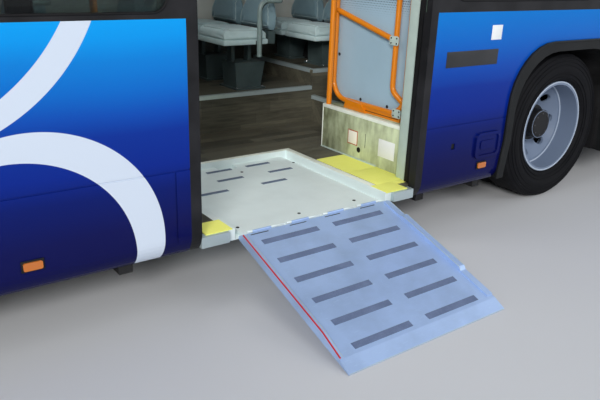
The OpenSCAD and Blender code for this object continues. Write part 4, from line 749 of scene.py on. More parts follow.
class Forms:
    """Meshes made from sizes in the bus's millimetres and placed in the model's frame."""

    @staticmethod
    def link(name: str, mesh: bpy.types.Mesh) -> Piece:
        """Make an object of a mesh and put it in the scene.

        Args:
            name: Name of the object.
            mesh: Its mesh.

        Returns:
            The linked object.
        """
        made = bpy.data.objects.new(name, mesh)
        bpy.context.scene.collection.objects.link(made)
        return made

    @staticmethod
    def flatten(piece: Piece) -> None:
        """Turn a piece's modifiers into its plain mesh.

        Args:
            piece: The linked object.
        """
        graph = bpy.context.evaluated_depsgraph_get()
        plain = bpy.data.meshes.new_from_object(piece.evaluated_get(graph))
        piece.modifiers.clear()
        piece.data = plain

    @staticmethod
    def taken(form: Piece) -> bpy.types.Mesh:
        """Take the mesh out of a working object and remove the object.

        Args:
            form: The working object.

        Returns:
            Its mesh.
        """
        mesh = form.data
        bpy.data.objects.remove(form)
        return mesh

    @staticmethod
    def from_bmesh(name: str, shape: BMesh, smooth: float = 35.0) -> Piece:
        """Turn a bmesh into a linked object.

        Args:
            name: Name of the piece.
            shape: The bmesh, which is freed.
            smooth: Angle in degrees up to which faces shade smoothly.

        Returns:
            The linked object.
        """
        bmesh.ops.recalc_face_normals(shape, faces=shape.faces)
        for face in shape.faces:
            face.smooth = True
        limit = math.radians(smooth)
        for edge in shape.edges:
            if len(edge.link_faces) == 2 and edge.calc_face_angle(0.0) > limit:
                edge.smooth = False
        mesh = bpy.data.meshes.new(name)
        shape.to_mesh(mesh)
        shape.free()
        return Forms.link(name, mesh)

    @staticmethod
    def soften(shape: BMesh, edges: Sequence[bmesh.types.BMEdge], size: float) -> None:
        """Bevel edges by a size in millimetres."""
        bmesh.ops.bevel(shape, geom=edges, offset=size / 1000, segments=2, affect="EDGES", profile=0.5)

    @staticmethod
    def ring(count: int, start: float = 0.0) -> list[Flat]:
        """Cosine and sine of equal steps round a circle, from a start counted in steps."""
        turns = [2 * math.pi * (i + start) / count for i in range(count)]
        return [(math.cos(a), math.sin(a)) for a in turns]

    @staticmethod
    def skin(shape: BMesh, rings: Sequence[Sequence[bmesh.types.BMVert]], capped: bool = False) -> None:
        """Join rings of as many vertices by faces.

        Args:
            shape: The bmesh.
            rings: The rings, in order.
            capped: Whether the first and the last ring are closed by a face.
        """
        for a, b in zip(rings, rings[1:]):
            for k in range(len(a)):
                shape.faces.new((a[k], a[(k + 1) % len(a)], b[(k + 1) % len(a)], b[k]))
        if capped:
            shape.faces.new(list(reversed(rings[0])))
            shape.faces.new(rings[-1])

    @staticmethod
    def blocks(name: str, corners: Iterable[tuple[Point, Point]], bevel: float) -> Piece:
        """One piece of several bevelled blocks.

        Args:
            name: Name of the piece.
            corners: Lowest and highest corner of each block.
            bevel: Size of the bevels in millimetres.

        Returns:
            The linked object.
        """
        shape = bmesh.new()
        for low, high in corners:
            a, b = BUS.at(*low), BUS.at(*high)
            made = bmesh.ops.create_cube(shape, size=1.0)["verts"]
            bmesh.ops.scale(shape, vec=b - a, verts=made)
            bmesh.ops.translate(shape, vec=(a + b) / 2, verts=made)
            Forms.soften(shape, list(dict.fromkeys(e for v in made for e in v.link_edges)), bevel)
        return Forms.from_bmesh(name, shape)

    @staticmethod
    def rounded(points: Sequence[Point], radius: float, steps: int) -> list[Vector]:
        """Round the corners of a path.

        Args:
            points: Corners of the path in the bus's millimetres.
            radius: Radius of each bend.
            steps: Steps on each bend.

        Returns:
            The path's points in the model's frame.
        """
        path = [Vector(p) for p in points]
        out = [path[0]]
        for before, here, after in zip(path, path[1:], path[2:]):
            u, v = (before - here).normalized(), (after - here).normalized()
            room = min((before - here).length, (after - here).length) * 0.49
            cut = min(radius / math.tan(u.angle(v) / 2), room)
            for i in range(steps + 1):
                t = i / steps
                a, b = here + u * cut * (1 - t), here + v * cut * t
                out.append(a * (1 - t) + b * t)
        return [BUS.at(*p) for p in out + [path[-1]]]

    @staticmethod
    def tubes(
        name: str, paths: Iterable[Sequence[Vector]], radius: float, sides: int, closed: bool = False
    ) -> Piece:
        """One piece of several tubes of one radius.

        Args:
            name: Name of the piece.
            paths: Centreline of each tube in the model's frame.
            radius: Radius in millimetres.
            sides: Number of sides of the section.
            closed: Whether each path joins up with itself.

        Returns:
            The linked object.
        """
        shape = bmesh.new()
        for path in paths:
            rings, up = [], None
            for i, here in enumerate(path):
                before = path[i - 1] if (i or closed) else here
                after = path[(i + 1) % len(path)] if (i < len(path) - 1 or closed) else here
                along = (after - before).normalized()
                if up is None:
                    up = Vector((0, 0, 1)) if abs(along.z) < 0.9 else Vector((1, 0, 0))
                side = along.cross(up).normalized()
                up = side.cross(along).normalized()
                outs = [(side * c + up * s) * radius / 1000 for c, s in Forms.ring(sides)]
                rings.append([shape.verts.new(here + out) for out in outs])
            if closed:
                # The last ring meets the first where their points lie nearest
                first, last = rings[0], rings[-1][0].co
                turn = min(range(sides), key=lambda k: (first[k].co - last).length)
                rings.append(first[turn:] + first[:turn])
            Forms.skin(shape, rings, not closed)
        return Forms.from_bmesh(name, shape, 60)

    @staticmethod
    def turned(name: str, parts: Iterable[tuple[Sequence[Flat], Vector, Point]], sides: int = 48) -> Piece:
        """One piece of several turned rings.

        Args:
            name: Name of the piece.
            parts: Closed profile of (radius, offset) in millimetres, centre and axis of each ring.
            sides: Number of sides.

        Returns:
            The linked object.
        """
        shape = bmesh.new()
        for profile, at, axis in parts:
            along = Vector(axis).normalized()
            u = along.orthogonal().normalized()
            v = along.cross(u)
            rings = []
            for radius, offset in profile:
                outs = [along * offset + (u * c + v * s) * radius for c, s in Forms.ring(sides)]
                rings.append([shape.verts.new(at + out / 1000) for out in outs])
            Forms.skin(shape, rings + rings[:1])
        bmesh.ops.remove_doubles(shape, verts=shape.verts, dist=1e-6)
        return Forms.from_bmesh(name, shape, 40)

    @staticmethod
    def prism(name: str, outlines: Iterable[Sequence[Point]], push: Point, bevel: float = 0.0) -> Piece:
        """One piece of flat outlines pushed out.

        Args:
            name: Name of the piece.
            outlines: Points of each outline in the bus's millimetres.
            push: Way and depth of the push in millimetres.
            bevel: Size of the bevels in millimetres.

        Returns:
            The linked object.
        """
        shape = bmesh.new()
        for outline in outlines:
            face = shape.faces.new([shape.verts.new(BUS.at(*p)) for p in outline])
            made = bmesh.ops.extrude_face_region(shape, geom=[face])["geom"]
            verts = [g for g in made if isinstance(g, bmesh.types.BMVert)]
            bmesh.ops.translate(shape, vec=Vector(push) / 1000, verts=verts)
        if bevel:
            Forms.soften(shape, [e for e in shape.edges if e.calc_face_angle(0.0) > 0.6], bevel)
        return Forms.from_bmesh(name, shape)

    @staticmethod
    def round_rect(x0: float, z0: float, x1: float, z1: float, r: float, steps: int = 6) -> list[Flat]:
        """Outline of a rectangle with rounded corners.

        Args:
            x0: Lower edge of the first measure.
            z0: Lower edge of the second measure.
            x1: Upper edge of the first measure.
            z1: Upper edge of the second measure.
            r: Radius of the corners.
            steps: Steps on each corner.

        Returns:
            The points of the outline.
        """
        out = []
        corners = ((x1 - r, z0 + r, -90), (x1 - r, z1 - r, 0), (x0 + r, z1 - r, 90), (x0 + r, z0 + r, 180))
        for cx, cz, start in corners:
            for i in range(steps + 1):
                a = math.radians(start + 90 * i / steps)
                out.append((cx + r * math.cos(a), cz + r * math.sin(a)))
        return out

    @staticmethod
    def densify(
        outline: Sequence[Flat], step: float, whole: Callable[[float], int] = math.ceil
    ) -> list[Flat]:
        """Put points along a closed outline about a step apart.

        Args:
            outline: Corners of the outline.
            step: Distance between the points.
            whole: Makes a whole number of steps of the length of an edge.

        Returns:
            The points.
        """
        out = []
        for (a, b), (c, d) in zip(outline, list(outline[1:]) + [outline[0]]):
            count = max(1, whole(math.hypot(c - a, d - b) / step))
            out += [(a + (c - a) * i / count, b + (d - b) * i / count) for i in range(count)]
        return out

    @staticmethod
    def cast(node: Piece, points: Iterable[Vector], way: Point) -> list[tuple[Vector, Vector]]:
        """Lay points on a surface by sending them one way until they meet it.

        Args:
            node: Object of the CAD node, or of another mesh.
            points: Starting points in the model's frame.
            way: Direction in which each point is sent.

        Returns:
            The place on the surface and the outward direction there, for each point that meets it.
        """
        mesh, ray = node.data, Vector(way)
        tree = BVHTree.FromPolygons([v.co for v in mesh.vertices], [p.vertices for p in mesh.polygons])
        hits = []
        for point in points:
            place, normal, _, _ = tree.ray_cast(point, ray)
            if place is not None:
                hits.append((place, normal if normal.dot(ray) < 0 else -normal))
        return hits


class Copy(Enum):
    """Shape that a repeat places at each of its points."""

    BLOCK = "GeometryNodeMeshCube"
    DISC = "GeometryNodeMeshCylinder"
    DOME = "GeometryNodeMeshUVSphere"
    SHAPE = "GeometryNodeObjectInfo"


@dataclass
class Repeat:
    """A Geometry Nodes tree that puts one small shape at every vertex of a point mesh.

    The tree's inputs are named Width, Depth and Height: metres, or factors for a shape of its own.
    Each point carries a turn.
    """

    name: str
    copy: Copy
    size: tuple[float, float, float]
    finish: bpy.types.Material
    sides: int = 12
    shape: Optional[Piece] = None

    def _sizes(self) -> dict[str, float]:
        """Value of each named input of the tree."""
        unit = 1.0 if self.copy is Copy.SHAPE else 1000.0
        return dict(zip(("Width", "Depth", "Height"), (v / unit for v in self.size)))

    def _settings(self) -> dict[str, object]:
        """Inputs of the node that makes the shape, so that it is one unit wide."""
        return {
            Copy.BLOCK: {},
            Copy.DISC: {"Vertices": self.sides, "Radius": 0.5, "Depth": 1.0},
            Copy.DOME: {"Segments": self.sides, "Rings": max(4, self.sides // 2), "Radius": 0.5},
            Copy.SHAPE: {"Object": self.shape},
        }[self.copy]

    def _tree(self) -> bpy.types.NodeTree:
        """Build the node tree with its named inputs.

        Returns:
            The tree.
        """
        tree = bpy.data.node_groups.new(self.name + "_tree", "GeometryNodeTree")
        face = tree.interface
        face.new_socket("Geometry", in_out="INPUT", socket_type="NodeSocketGeometry")
        for key, value in self._sizes().items():
            face.new_socket(key, in_out="INPUT", socket_type="NodeSocketFloat").default_value = value
        face.new_socket("Geometry", in_out="OUTPUT", socket_type="NodeSocketGeometry")
        new, link = tree.nodes.new, tree.links.new
        enter, leave, shape = new("NodeGroupInput"), new("NodeGroupOutput"), new(self.copy.value)
        for key, value in self._settings().items():
            shape.inputs[key].default_value = value
        scale = new("ShaderNodeCombineXYZ")
        for i in range(3):
            link(enter.outputs[i + 1], scale.inputs[i])
        turn = new("GeometryNodeInputNamedAttribute")
        turn.data_type = "FLOAT_VECTOR"
        turn.inputs["Name"].default_value = "turn"
        euler = new("FunctionNodeEulerToRotation")
        link(turn.outputs[0], euler.inputs[0])
        place = new("GeometryNodeInstanceOnPoints")
        link(enter.outputs[0], place.inputs["Points"])
        link(shape.outputs["Geometry" if self.copy is Copy.SHAPE else 0], place.inputs["Instance"])
        link(euler.outputs[0], place.inputs["Rotation"])
        link(scale.outputs[0], place.inputs["Scale"])
        real, paint = new("GeometryNodeRealizeInstances"), new("GeometryNodeSetMaterial")
        paint.inputs["Material"].default_value = self.finish
        link(place.outputs[0], real.inputs[0])
        link(real.outputs[0], paint.inputs["Geometry"])
        link(paint.outputs[0], leave.inputs[0])
        return tree

    def at(self, points: Sequence[Vector], turns: Optional[Sequence[Point]] = None) -> Piece:
        """Place the copies and return them as one plain mesh object.

        Args:
            points: Places in the model's frame, in metres.
            turns: Euler angles in radians for each place.

        Returns:
            The linked object, with no modifier left on it.
        """
        mesh = bpy.data.meshes.new(self.name + "_points")
        mesh.from_pydata([tuple(p) for p in points], [], [])
        turn = mesh.attributes.new("turn", "FLOAT_VECTOR", "POINT")
        flat = [c for t in (turns or [(0, 0, 0)] * len(points)) for c in t]
        turn.data.foreach_set("vector", flat)
        made = Forms.link(self.name, mesh)
        modifier = made.modifiers.new("repeat", "NODES")
        modifier.node_group = self._tree()
        sizes = self._sizes()
        for item in modifier.node_group.interface.items_tree:
            if item.item_type == "SOCKET" and item.in_out == "INPUT" and item.name in sizes:
                modifier[item.identifier] = sizes[item.name]
        Forms.flatten(made)
        if self.copy in (Copy.DOME, Copy.SHAPE):
            made.data.shade_smooth()
        if self.shape is not None:
            bpy.data.objects.remove(self.shape)
        return made


@dataclass
class Assembly:
    """One sub-assembly of the bus that adds its pieces to the model."""

    looks: Looks
    nodes: dict[str, Piece]
    made: list[str] = field(default_factory=list)

    def add(
        self, piece: Piece, finish: str, slot: Slot, body: str = "bus", replaces: Sequence[str] = ()
    ) -> Piece:
        """Give a piece its finish and body, and hide the nodes it stands for.

        Args:
            piece: The linked object, at the origin with its place in its mesh.
            finish: Key of the finish.
            slot: Material slot of the record; not used.
            body: Body that it rides on.
            replaces: CAD nodes that it stands for.

        Returns:
            The piece.
        """
        piece.data.materials.clear()
        piece.data.materials.append(self.looks[finish])
        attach(piece, body)
        if replaces:
            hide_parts(*replaces)
        self.made.append(piece.name)
        LOG.info("piece %s", piece.name)
        return piece

    def dress(self, finish: str, *nodes: str) -> None:
        """Give CAD nodes a finish.

        Args:
            finish: Key of the finish.
            *nodes: Names of the nodes.
        """
        for node in nodes:
            target = self.nodes[node].data
            target.materials.clear()
            target.materials.append(self.looks[finish])

    def build(self) -> None:
        """Build the sub-assembly's pieces; each kind has its own."""
        raise NotImplementedError


@dataclass
class Shell(Assembly):
    """Painted body, window frames, glass and the small things fixed to the outside."""

    # Side windows: side, rear edge, front edge and bottom
    windows: tuple[tuple[float, ...], ...] = (
        (1, -2620, -1560, 1279), (1, -1480, -180, 1279), (1, -100, 1140, 1279),
        (1, 2721, 3510, 1245), (1, 3580, 4500, 1245), (1, 4580, 6000, 1245),
        (-1, -2620, -1560, 1279), (-1, -1480, -180, 1279), (-1, -100, 1180, 1279),
        (-1, 1260, 2540, 1279), (-1, 2620, 3900, 1279), (-1, 3980, 5240, 1279),
        (-1, 5320, 6160, 1279), (-1, 6240, 7020, 1245),
    )
    window_r: float = 58.0
    # Outlines across the bus: y0, z0, y1, z1 and corner radius
    screen: tuple[float, ...] = (-1120, 1180, 1120, 2640, 110)
    rear_window: tuple[float, ...] = (-900, 1420, 900, 2200, 90)
    marker_xs: tuple[float, ...] = (-1700, 771, 3300, 4400)
    marker_z: tuple[float, float] = (333, 379)
    # Half width of the rear and the front wheel arch
    arches: tuple[float, float] = (536, 610)
    arch_top: float = 985.0
    arch_r: float = 350.0
    flare: float = 54.0
    # Lenses of one side's front lamps: distance from the centreline, height and radius
    lenses: tuple[tuple[float, float, float], ...] = (
        (845, 745, 74), (995, 745, 74), (1122, 745, 74), (942.5, 420, 44),
    )
    # The outer lens curves round the corner beyond this distance from the centreline
    corner_y: float = 1080.0
    corner_lens_r: float = 58.0
    tail_ys: tuple[float, ...] = (970, 1010, 1050, 1085, 1106)
    # Joints between the tail lamp's sections, moved a little into the lens at its ends
    tail_zs: tuple[float, ...] = (644, 794, 984, 1146)
    seam_xs: tuple[float, ...] = (-1900, -700, 500, 3400, 4600, 5600)
    fan_xs: tuple[float, ...] = (1700, 2500)
    fan_y: float = 290.0
    fan_blades: int = 7
    # Rays that lay pieces on the body start here
    ahead_x: float = 9000.0
    behind_x: float = -5000.0
    above_z: float = 4000.0

    def build(self) -> None:
        """Dress the body and add its outside detail."""
        self.dress("livery_lined", "side_left", "side_right")
        self.dress("livery", "roof", "front_panel", "rear_panel", "bumper_front", "engine_hatch")
        self.dress("frame", "window_frames")
        self.dress("trim", "arch_trims", "bumper_rear", "mirrors", "wipers")
        self.dress("chassis", "wheel_houses")
        self.dress("clear_glass", "windscreen")
        self.dress("glass", "windows_glazed")
        self.dress("roof", "roof_unit")
        self.dress("lamp", "lamps_front")
        self.dress("tail", "lamps_rear")
        self.dress("amber", "lamps_side")
        self.plates()
        self.window_rubbers()
        self.screen_rubbers()
        self.markers()
        self.arch_lips()
        self.head_lamps()
        self.tail_frames()
        self.mirror_glass()
        self.gutters()
        self.fans()
        self.locks()
        self.mud_flaps()

    def plates(self) -> None:
        """Blank plates behind the middle doorway and the insert of the flap's key hole."""
        y = BUS.half_w
        for name, finish, slot, bevel, low, high in (
            ("sign_plate_white", "plate", Slot.ROOF, 0.6, (742, y + 0.3, 1076), (828, y + 1.8, 1154)),
            ("sign_plate_grey", "plate_grey", Slot.TRIM, 0.6, (752, y + 0.3, 943), (1168, y + 1.6, 1026)),
            ("flap_lock", "trim", Slot.TRIM, 1.0, (1020, y - 11, 487), (1046, y - 5, 515)),
        ):
            self.add(Forms.blocks(name, [(low, high)], bevel), finish, slot)

    def window_rubbers(self) -> None:
        """Rubber round each side window."""
        for side, name in ((1, "left"), (-1, "right")):
            paths = []
            for s, x0, x1, z0 in self.windows:
                if s == side:
                    outline = Forms.round_rect(x0 + 2, z0 + 2, x1 - 2, BUS.window_top_z - 2, self.window_r)
                    paths.append([BUS.at(x, s * (BUS.side_y(z) - 1.5), z) for x, z in outline])
            self.add(Forms.tubes("window_rubbers_" + name, paths, 5.5, 8, True), "seal", Slot.TRIM)

    def screen_rubbers(self) -> None:
        """Rubber round the windscreen and round the rear window, laid on the glass."""
        for name, node, (y0, z0, y1, z1, r), start, way in (
            ("windscreen", "windscreen", self.screen, self.ahead_x, -1),
            ("rear_window", "windows_glazed", self.rear_window, self.behind_x, 1),
        ):
            dense = Forms.densify(Forms.round_rect(y0 + 4, z0 + 4, y1 - 4, z1 - 4, r - 4), 60, round)
            hits = Forms.cast(self.nodes[node], [BUS.at(start, y, z) for y, z in dense], (way, 0, 0))
            path = [place + normal * 0.001 for place, normal in hits]
            self.add(Forms.tubes(name + "_rubber", [path], 7.5, 8, True), "seal", Slot.TRIM)

    def markers(self) -> None:
        """Black bezels round the side marker lamps."""
        z0, z1 = self.marker_z
        corners = []
        for s in (1, -1):
            y0, y1 = sorted((s * (BUS.half_w + 0.3), s * (BUS.half_w + 6)))
            corners += [((x - 42, y0, z0), (x + 42, y1, z1)) for x in self.marker_xs]
        self.add(Forms.blocks("marker_bezels", corners, 2.5), "trim", Slot.TRIM)

    def arch_lips(self) -> None:
        """Rounded rubber edge of each wheel arch flare."""
        foot, top, r = 262, self.arch_top + self.flare, self.arch_r
        paths = []
        for axle, half in zip((0.0, BUS.wheelbase), self.arches):
            reach = half + self.flare
            points = [(reach + 26, foot), (reach, BUS.axle_z)]
            for start, cx in ((0, reach - r), (90, r - reach)):
                for i in range(9):
                    a = math.radians(start + 90 * i / 8)
                    points.append((cx + r * math.cos(a), top - r + r * math.sin(a)))
            points += [(-reach, BUS.axle_z), (-reach - 26, foot)]
            for s in (1, -1):
                paths.append([BUS.at(axle + x, s * (BUS.half_w + 12), z) for x, z in points])
        self.add(Forms.tubes("arch_lips", paths, 8, 10), "trim", Slot.TRIM)

    def head_lamps(self) -> None:
        """Bright bowls and glass domes of the front lamps, laid on their lenses."""
        places = [(s * y, z, r) for s in (1, -1) for y, z, r in self.lenses]
        starts = [BUS.at(self.ahead_x, y, z) for y, z, _ in places]
        rings, domes, bezels = [], [], []
        for (y, _, r), seat in zip(places, Forms.cast(self.nodes["lamps_front"], starts, (-1, 0, 0))):
            r = min(r, self.corner_lens_r) if abs(y) > self.corner_y else r
            rings.append(([(r, -1), (r, 4), (r - 7, 6), (r - 12, 1), (r / 2, 0.4), (r / 2, -1)], *seat))
            domes.append(([(0.2, -1), (0.2, 9), (r * 0.2, 8.2), (r * 0.34, 5), (r * 0.42, -1)], *seat))
            bezels.append(([(r + 7, -1), (r + 7, 2.4), (r, 3), (r, -1)], *seat))
        self.add(Forms.turned("lamp_rings", rings), "chrome", Slot.RIM)
        self.add(Forms.turned("lamp_bulbs", domes, 32), "lamp", Slot.CLEAR)
        self.add(Forms.turned("lamp_bezels", bezels), "trim", Slot.TRIM)

    def tail_frames(self) -> None:
        """Black bars that part the tail lamps into their sections."""
        bars = []
        for s in (1, -1):
            for z in self.tail_zs:
                starts = [BUS.at(self.behind_x, s * y, z) for y in self.tail_ys]
                hits = Forms.cast(self.nodes["lamps_rear"], starts, (1, 0, 0))
                bars.append([place + normal * 0.001 for place, normal in hits])
        self.add(Forms.tubes("tail_frames", bars, 6, 8), "trim", Slot.TRIM)

    def mirror_glass(self) -> None:
        """Mirror glass on the rearward faces of the housings."""
        x, y0, y1 = BUS.front_x + 85, BUS.half_w - 44, BUS.half_w + 164
        outlines = []
        for s in (1, -1):
            for z0, z1 in ((1966, 2092), (2106, 2294)):
                outlines.append([(x, s * y, z) for y, z in Forms.round_rect(y0, z0, y1, z1, 26)])
        self.add(Forms.prism("mirror_glass", outlines, (-1.6, 0, 0)), "mirror", Slot.RIM)

    def gutters(self) -> None:
        """Rain gutters along both edges of the roof and the seams of its skins."""
        x, y, z = BUS.side_x0 + 20, BUS.side_y(BUS.cant_z), BUS.cant_z
        section = ((y - 4, z - 5), (y + 9, z - 3), (y + 11, z + 9), (y - 6, z + 12))
        outlines = [[(x, s * a, b) for a, b in section] for s in (1, -1)]
        made = Forms.prism("rain_gutters", outlines, (BUS.side_x1 - BUS.side_x0 - 40, 0, 0))
        self.add(made, "trim", Slot.TRIM)
        paths = []
        for x in self.seam_xs:
            starts = [BUS.at(x, y, self.above_z) for y in range(-1150, 1151, 46)]
            paths.append([place for place, _ in Forms.cast(self.nodes["roof"], starts, (0, 0, -1))])
        self.add(Forms.tubes("roof_seams", paths, 2.5, 6), "seal", Slot.TRIM)

    def fans(self) -> None:
        """Hubs and blades under the guards of the cooling unit."""
        blade = bmesh.new()
        points = [(52, -16, 12), (172, -46, 2), (176, 8, -16), (56, 20, -8)]
        blade.faces.new([blade.verts.new(Vector(p) / 1000) for p in points])
        bmesh.ops.solidify(blade, geom=list(blade.faces), thickness=0.003)
        template = Forms.from_bmesh("fan_blade", blade)
        hub = [(0.2, -26), (0.2, 16), (40, 14), (52, 6), (54, -26)]
        fans = [BUS.at(x, y, BUS.roof_z + 136) for x in self.fan_xs for y in (-self.fan_y, self.fan_y)]
        count = self.fan_blades
        places = [at for at in fans for _ in range(count)]
        turns = [(0, 0, 2 * math.pi * i / count) for _ in fans for i in range(count)]
        trim = self.looks["trim"]
        made = Repeat("fan_blades", Copy.SHAPE, (1, 1, 1), trim, shape=template).at(places, turns)
        self.add(made, "trim", Slot.TRIM)
        hubs = [(hub, at, (0, 0, 1)) for at in fans]
        self.add(Forms.turned("fan_hubs", hubs, 32), "trim", Slot.TRIM)

    def locks(self) -> None:
        """Round locks at the foot of the engine hatch and on the service flaps of both sides."""
        form = [(0.2, -2), (0.2, 5), (17, 5), (21, 2), (21, -2)]
        starts = [BUS.at(self.behind_x, y, 600) for y in (-560, 560)]
        locks = [(form, *seat) for seat in Forms.cast(self.nodes["engine_hatch"], starts, (1, 0, 0))]
        self.add(Forms.turned("hatch_locks", locks, 32), "chrome", Slot.RIM, "engine_hatch")
        form = [(0.2, -1), (0.2, 2.6), (11, 2.6), (14, 1.2), (14, -1)]
        locks = []
        for s, xs in ((1, (-2300, -1950)), (-1, (-2300, -1950, 950, 2450, 3450, 6300))):
            locks += [(form, BUS.at(x, s * BUS.half_w, 585), (0, s, 0)) for x in xs]
        self.add(Forms.turned("flap_locks", locks, 24), "chrome", Slot.RIM)

    def mud_flaps(self) -> None:
        """Rubber mud flaps behind the wheels."""
        flaps = []
        for x in (-512, BUS.wheelbase - 586):
            for s in (1, -1):
                y0, y1 = sorted((s * 930, s * 1180))
                flaps.append(((x - 6, y0, 262), (x, y1, 560)))
        self.add(Forms.blocks("mud_flaps", flaps, 2), "seal", Slot.TRIM)


@dataclass(frozen=True)
class WheelEnd:
    """Sizes of the outer face of a front or rear wheel, as distances outwards from its middle."""

    step: float
    # Section of the hub's casting: radius and distance
    hub: tuple[Flat, ...]
    bolt_circle: float
    bolt_face: float
    nut_face: float


@dataclass
class Wheels(Assembly):
    """Tyres with their tread and rims with their nuts."""

    # Places of the tyres on each body: x, y and the side they face
    places: tuple[tuple[str, tuple[tuple[float, float, int], ...]], ...] = (
        ("wheel_front_left", ((5300, 1063, 1),)),
        ("wheel_front_right", ((5300, -1063, -1),)),
        ("wheels_rear_left", ((0, 1063, 1), (0, 753, 1))),
        ("wheels_rear_right", ((0, -1063, -1), (0, -753, -1))),
    )
    front: WheelEnd = WheelEnd(
        50,
        ((0.2, 120), (0.2, 127), (44, 127), (52, 124), (56, 121), (70, 120.4), (70, 119.6), (30, 119.6)),
        36, 128.5, 92,
    )
    rear: WheelEnd = WheelEnd(
        -20,
        (
            (0.2, 28), (0.2, 33), (62, 33), (84, 32), (97, 26), (98, -38), (121, -39.4), (122.4, -44),
            (122.4, -140), (121.2, -140), (121.2, -42), (96, -41), (95, 20),
        ),
        72, 33, -143,
    )
    tread_r: float = 477.6
    tread_rows: tuple[float, ...] = (-66, -22, 22, 66)
    tread_count: int = 64
    # Moulded rings on the side wall: radius and distance from the tyre's middle
    wall_rings: tuple[Flat, ...] = ((330, 132.4), (352, 135.4), (404, 135.8), (428, 134.2), (452, 125.5))
    nut_circle: float = 136.0
    nut_count: int = 10

    def build(self) -> None:
        """Dress the wheels and add tread, rings and nuts."""
        for node in self.nodes:
            for start, finish in (("tyre", "tyre"), ("rim", "rim"), ("knuckle", "iron")):
                if node.startswith(start):
                    self.dress(finish, node)
        self.dress("chassis", "axle_front", "axle_rear", "underframe")
        self.dress("iron", "engine")
        for body, places in self.places:
            self.tread(body, places)
            x, y, side = places[0]
            end = self.front if x else self.rear
            self.turnings(body, end, BUS.at(x, y, BUS.axle_z), side)
            self.fixings(body, end, x, y, side)

    def tread(self, body: str, places: Sequence[tuple[float, float, int]]) -> None:
        """Tread ribs cut across by slots, in rows round each tyre.

        Args:
            body: Body of the wheel.
            places: Places of its tyres.
        """
        points, turns = [], []
        for x, y, _ in places:
            for row, offset in enumerate(self.tread_rows):
                for c, s in Forms.ring(self.tread_count, 0.5 * (row % 2)):
                    points.append(BUS.at(x + self.tread_r * c, y + offset, BUS.axle_z + self.tread_r * s))
                    turns.append((0, math.pi / 2 - math.atan2(s, c), 0.0))
        made = Repeat("tread_" + body, Copy.BLOCK, (41, 38, 1.4), self.looks["tyre"]).at(points, turns)
        self.add(made, "tyre", Slot.TYRE, body)

    def turnings(self, body: str, end: WheelEnd, at: Vector, side: int) -> None:
        """Rings of the side wall, the lip of the rim with the step inside it in a paler silver as painted
        highlight, and the hub.

        Args:
            body: Body of the wheel.
            end: Sizes of its outer face.
            at: Middle of the outer tyre.
            side: Side that it faces.
        """
        rings = []
        for radius, offset in self.wall_rings:
            rings.append([(radius + 2.6 * c, offset + 2.2 * s) for c, s in Forms.ring(8)])
        lip = [(288, 111), (288, 113), (291, 115.2), (295, 115.2), (298, 113), (298, 111)]
        step = [(270, end.step), (270, end.step + 4), (276.6, end.step + 7), (276.6, end.step)]
        for name, forms, sides, finish, slot in (
            ("side_wall_", rings, 72, "tyre", Slot.TYRE),
            ("rim_lip_", (lip, step), 96, "rim_lip", Slot.RIM),
            ("hub_cap_", (end.hub,), 48, "bolt", Slot.RIM),
        ):
            parts = [([(r, side * o) for r, o in form], at, (0, 1, 0)) for form in forms]
            self.add(Forms.turned(name + body, parts, sides), finish, slot, body)

    def fixings(self, body: str, end: WheelEnd, x: float, y: float, side: int) -> None:
        """Small bolts of the hub, and the wheel nuts with their studs round it.

        Args:
            body: Body of the wheel.
            end: Sizes of its outer face.
            x: Place of the axle.
            y: Place of the outer tyre's middle.
            side: Side that it faces.
        """
        nuts = (self.nut_count, 0.5, self.nut_circle)
        for name, size, finish, sides, (count, start, radius), out in (
            ("hub_bolts_", (11, 11, 6), "iron", 6, (8, 0.0, end.bolt_circle), end.bolt_face),
            ("wheel_nuts_", (31, 31, 20), "chrome", 6, nuts, end.nut_face + 9),
            ("wheel_studs_", (18, 18, 16), "chrome", 12, nuts, end.nut_face + 20),
        ):
            points = []
            for c, s in Forms.ring(count, start):
                points.append(BUS.at(x + radius * c, y + side * out, BUS.axle_z + radius * s))
            made = Repeat(name + body, Copy.DISC, size, self.looks[finish], sides)
            self.add(made.at(points, [(math.pi / 2, 0, 0)] * count), finish, Slot.RIM, body)


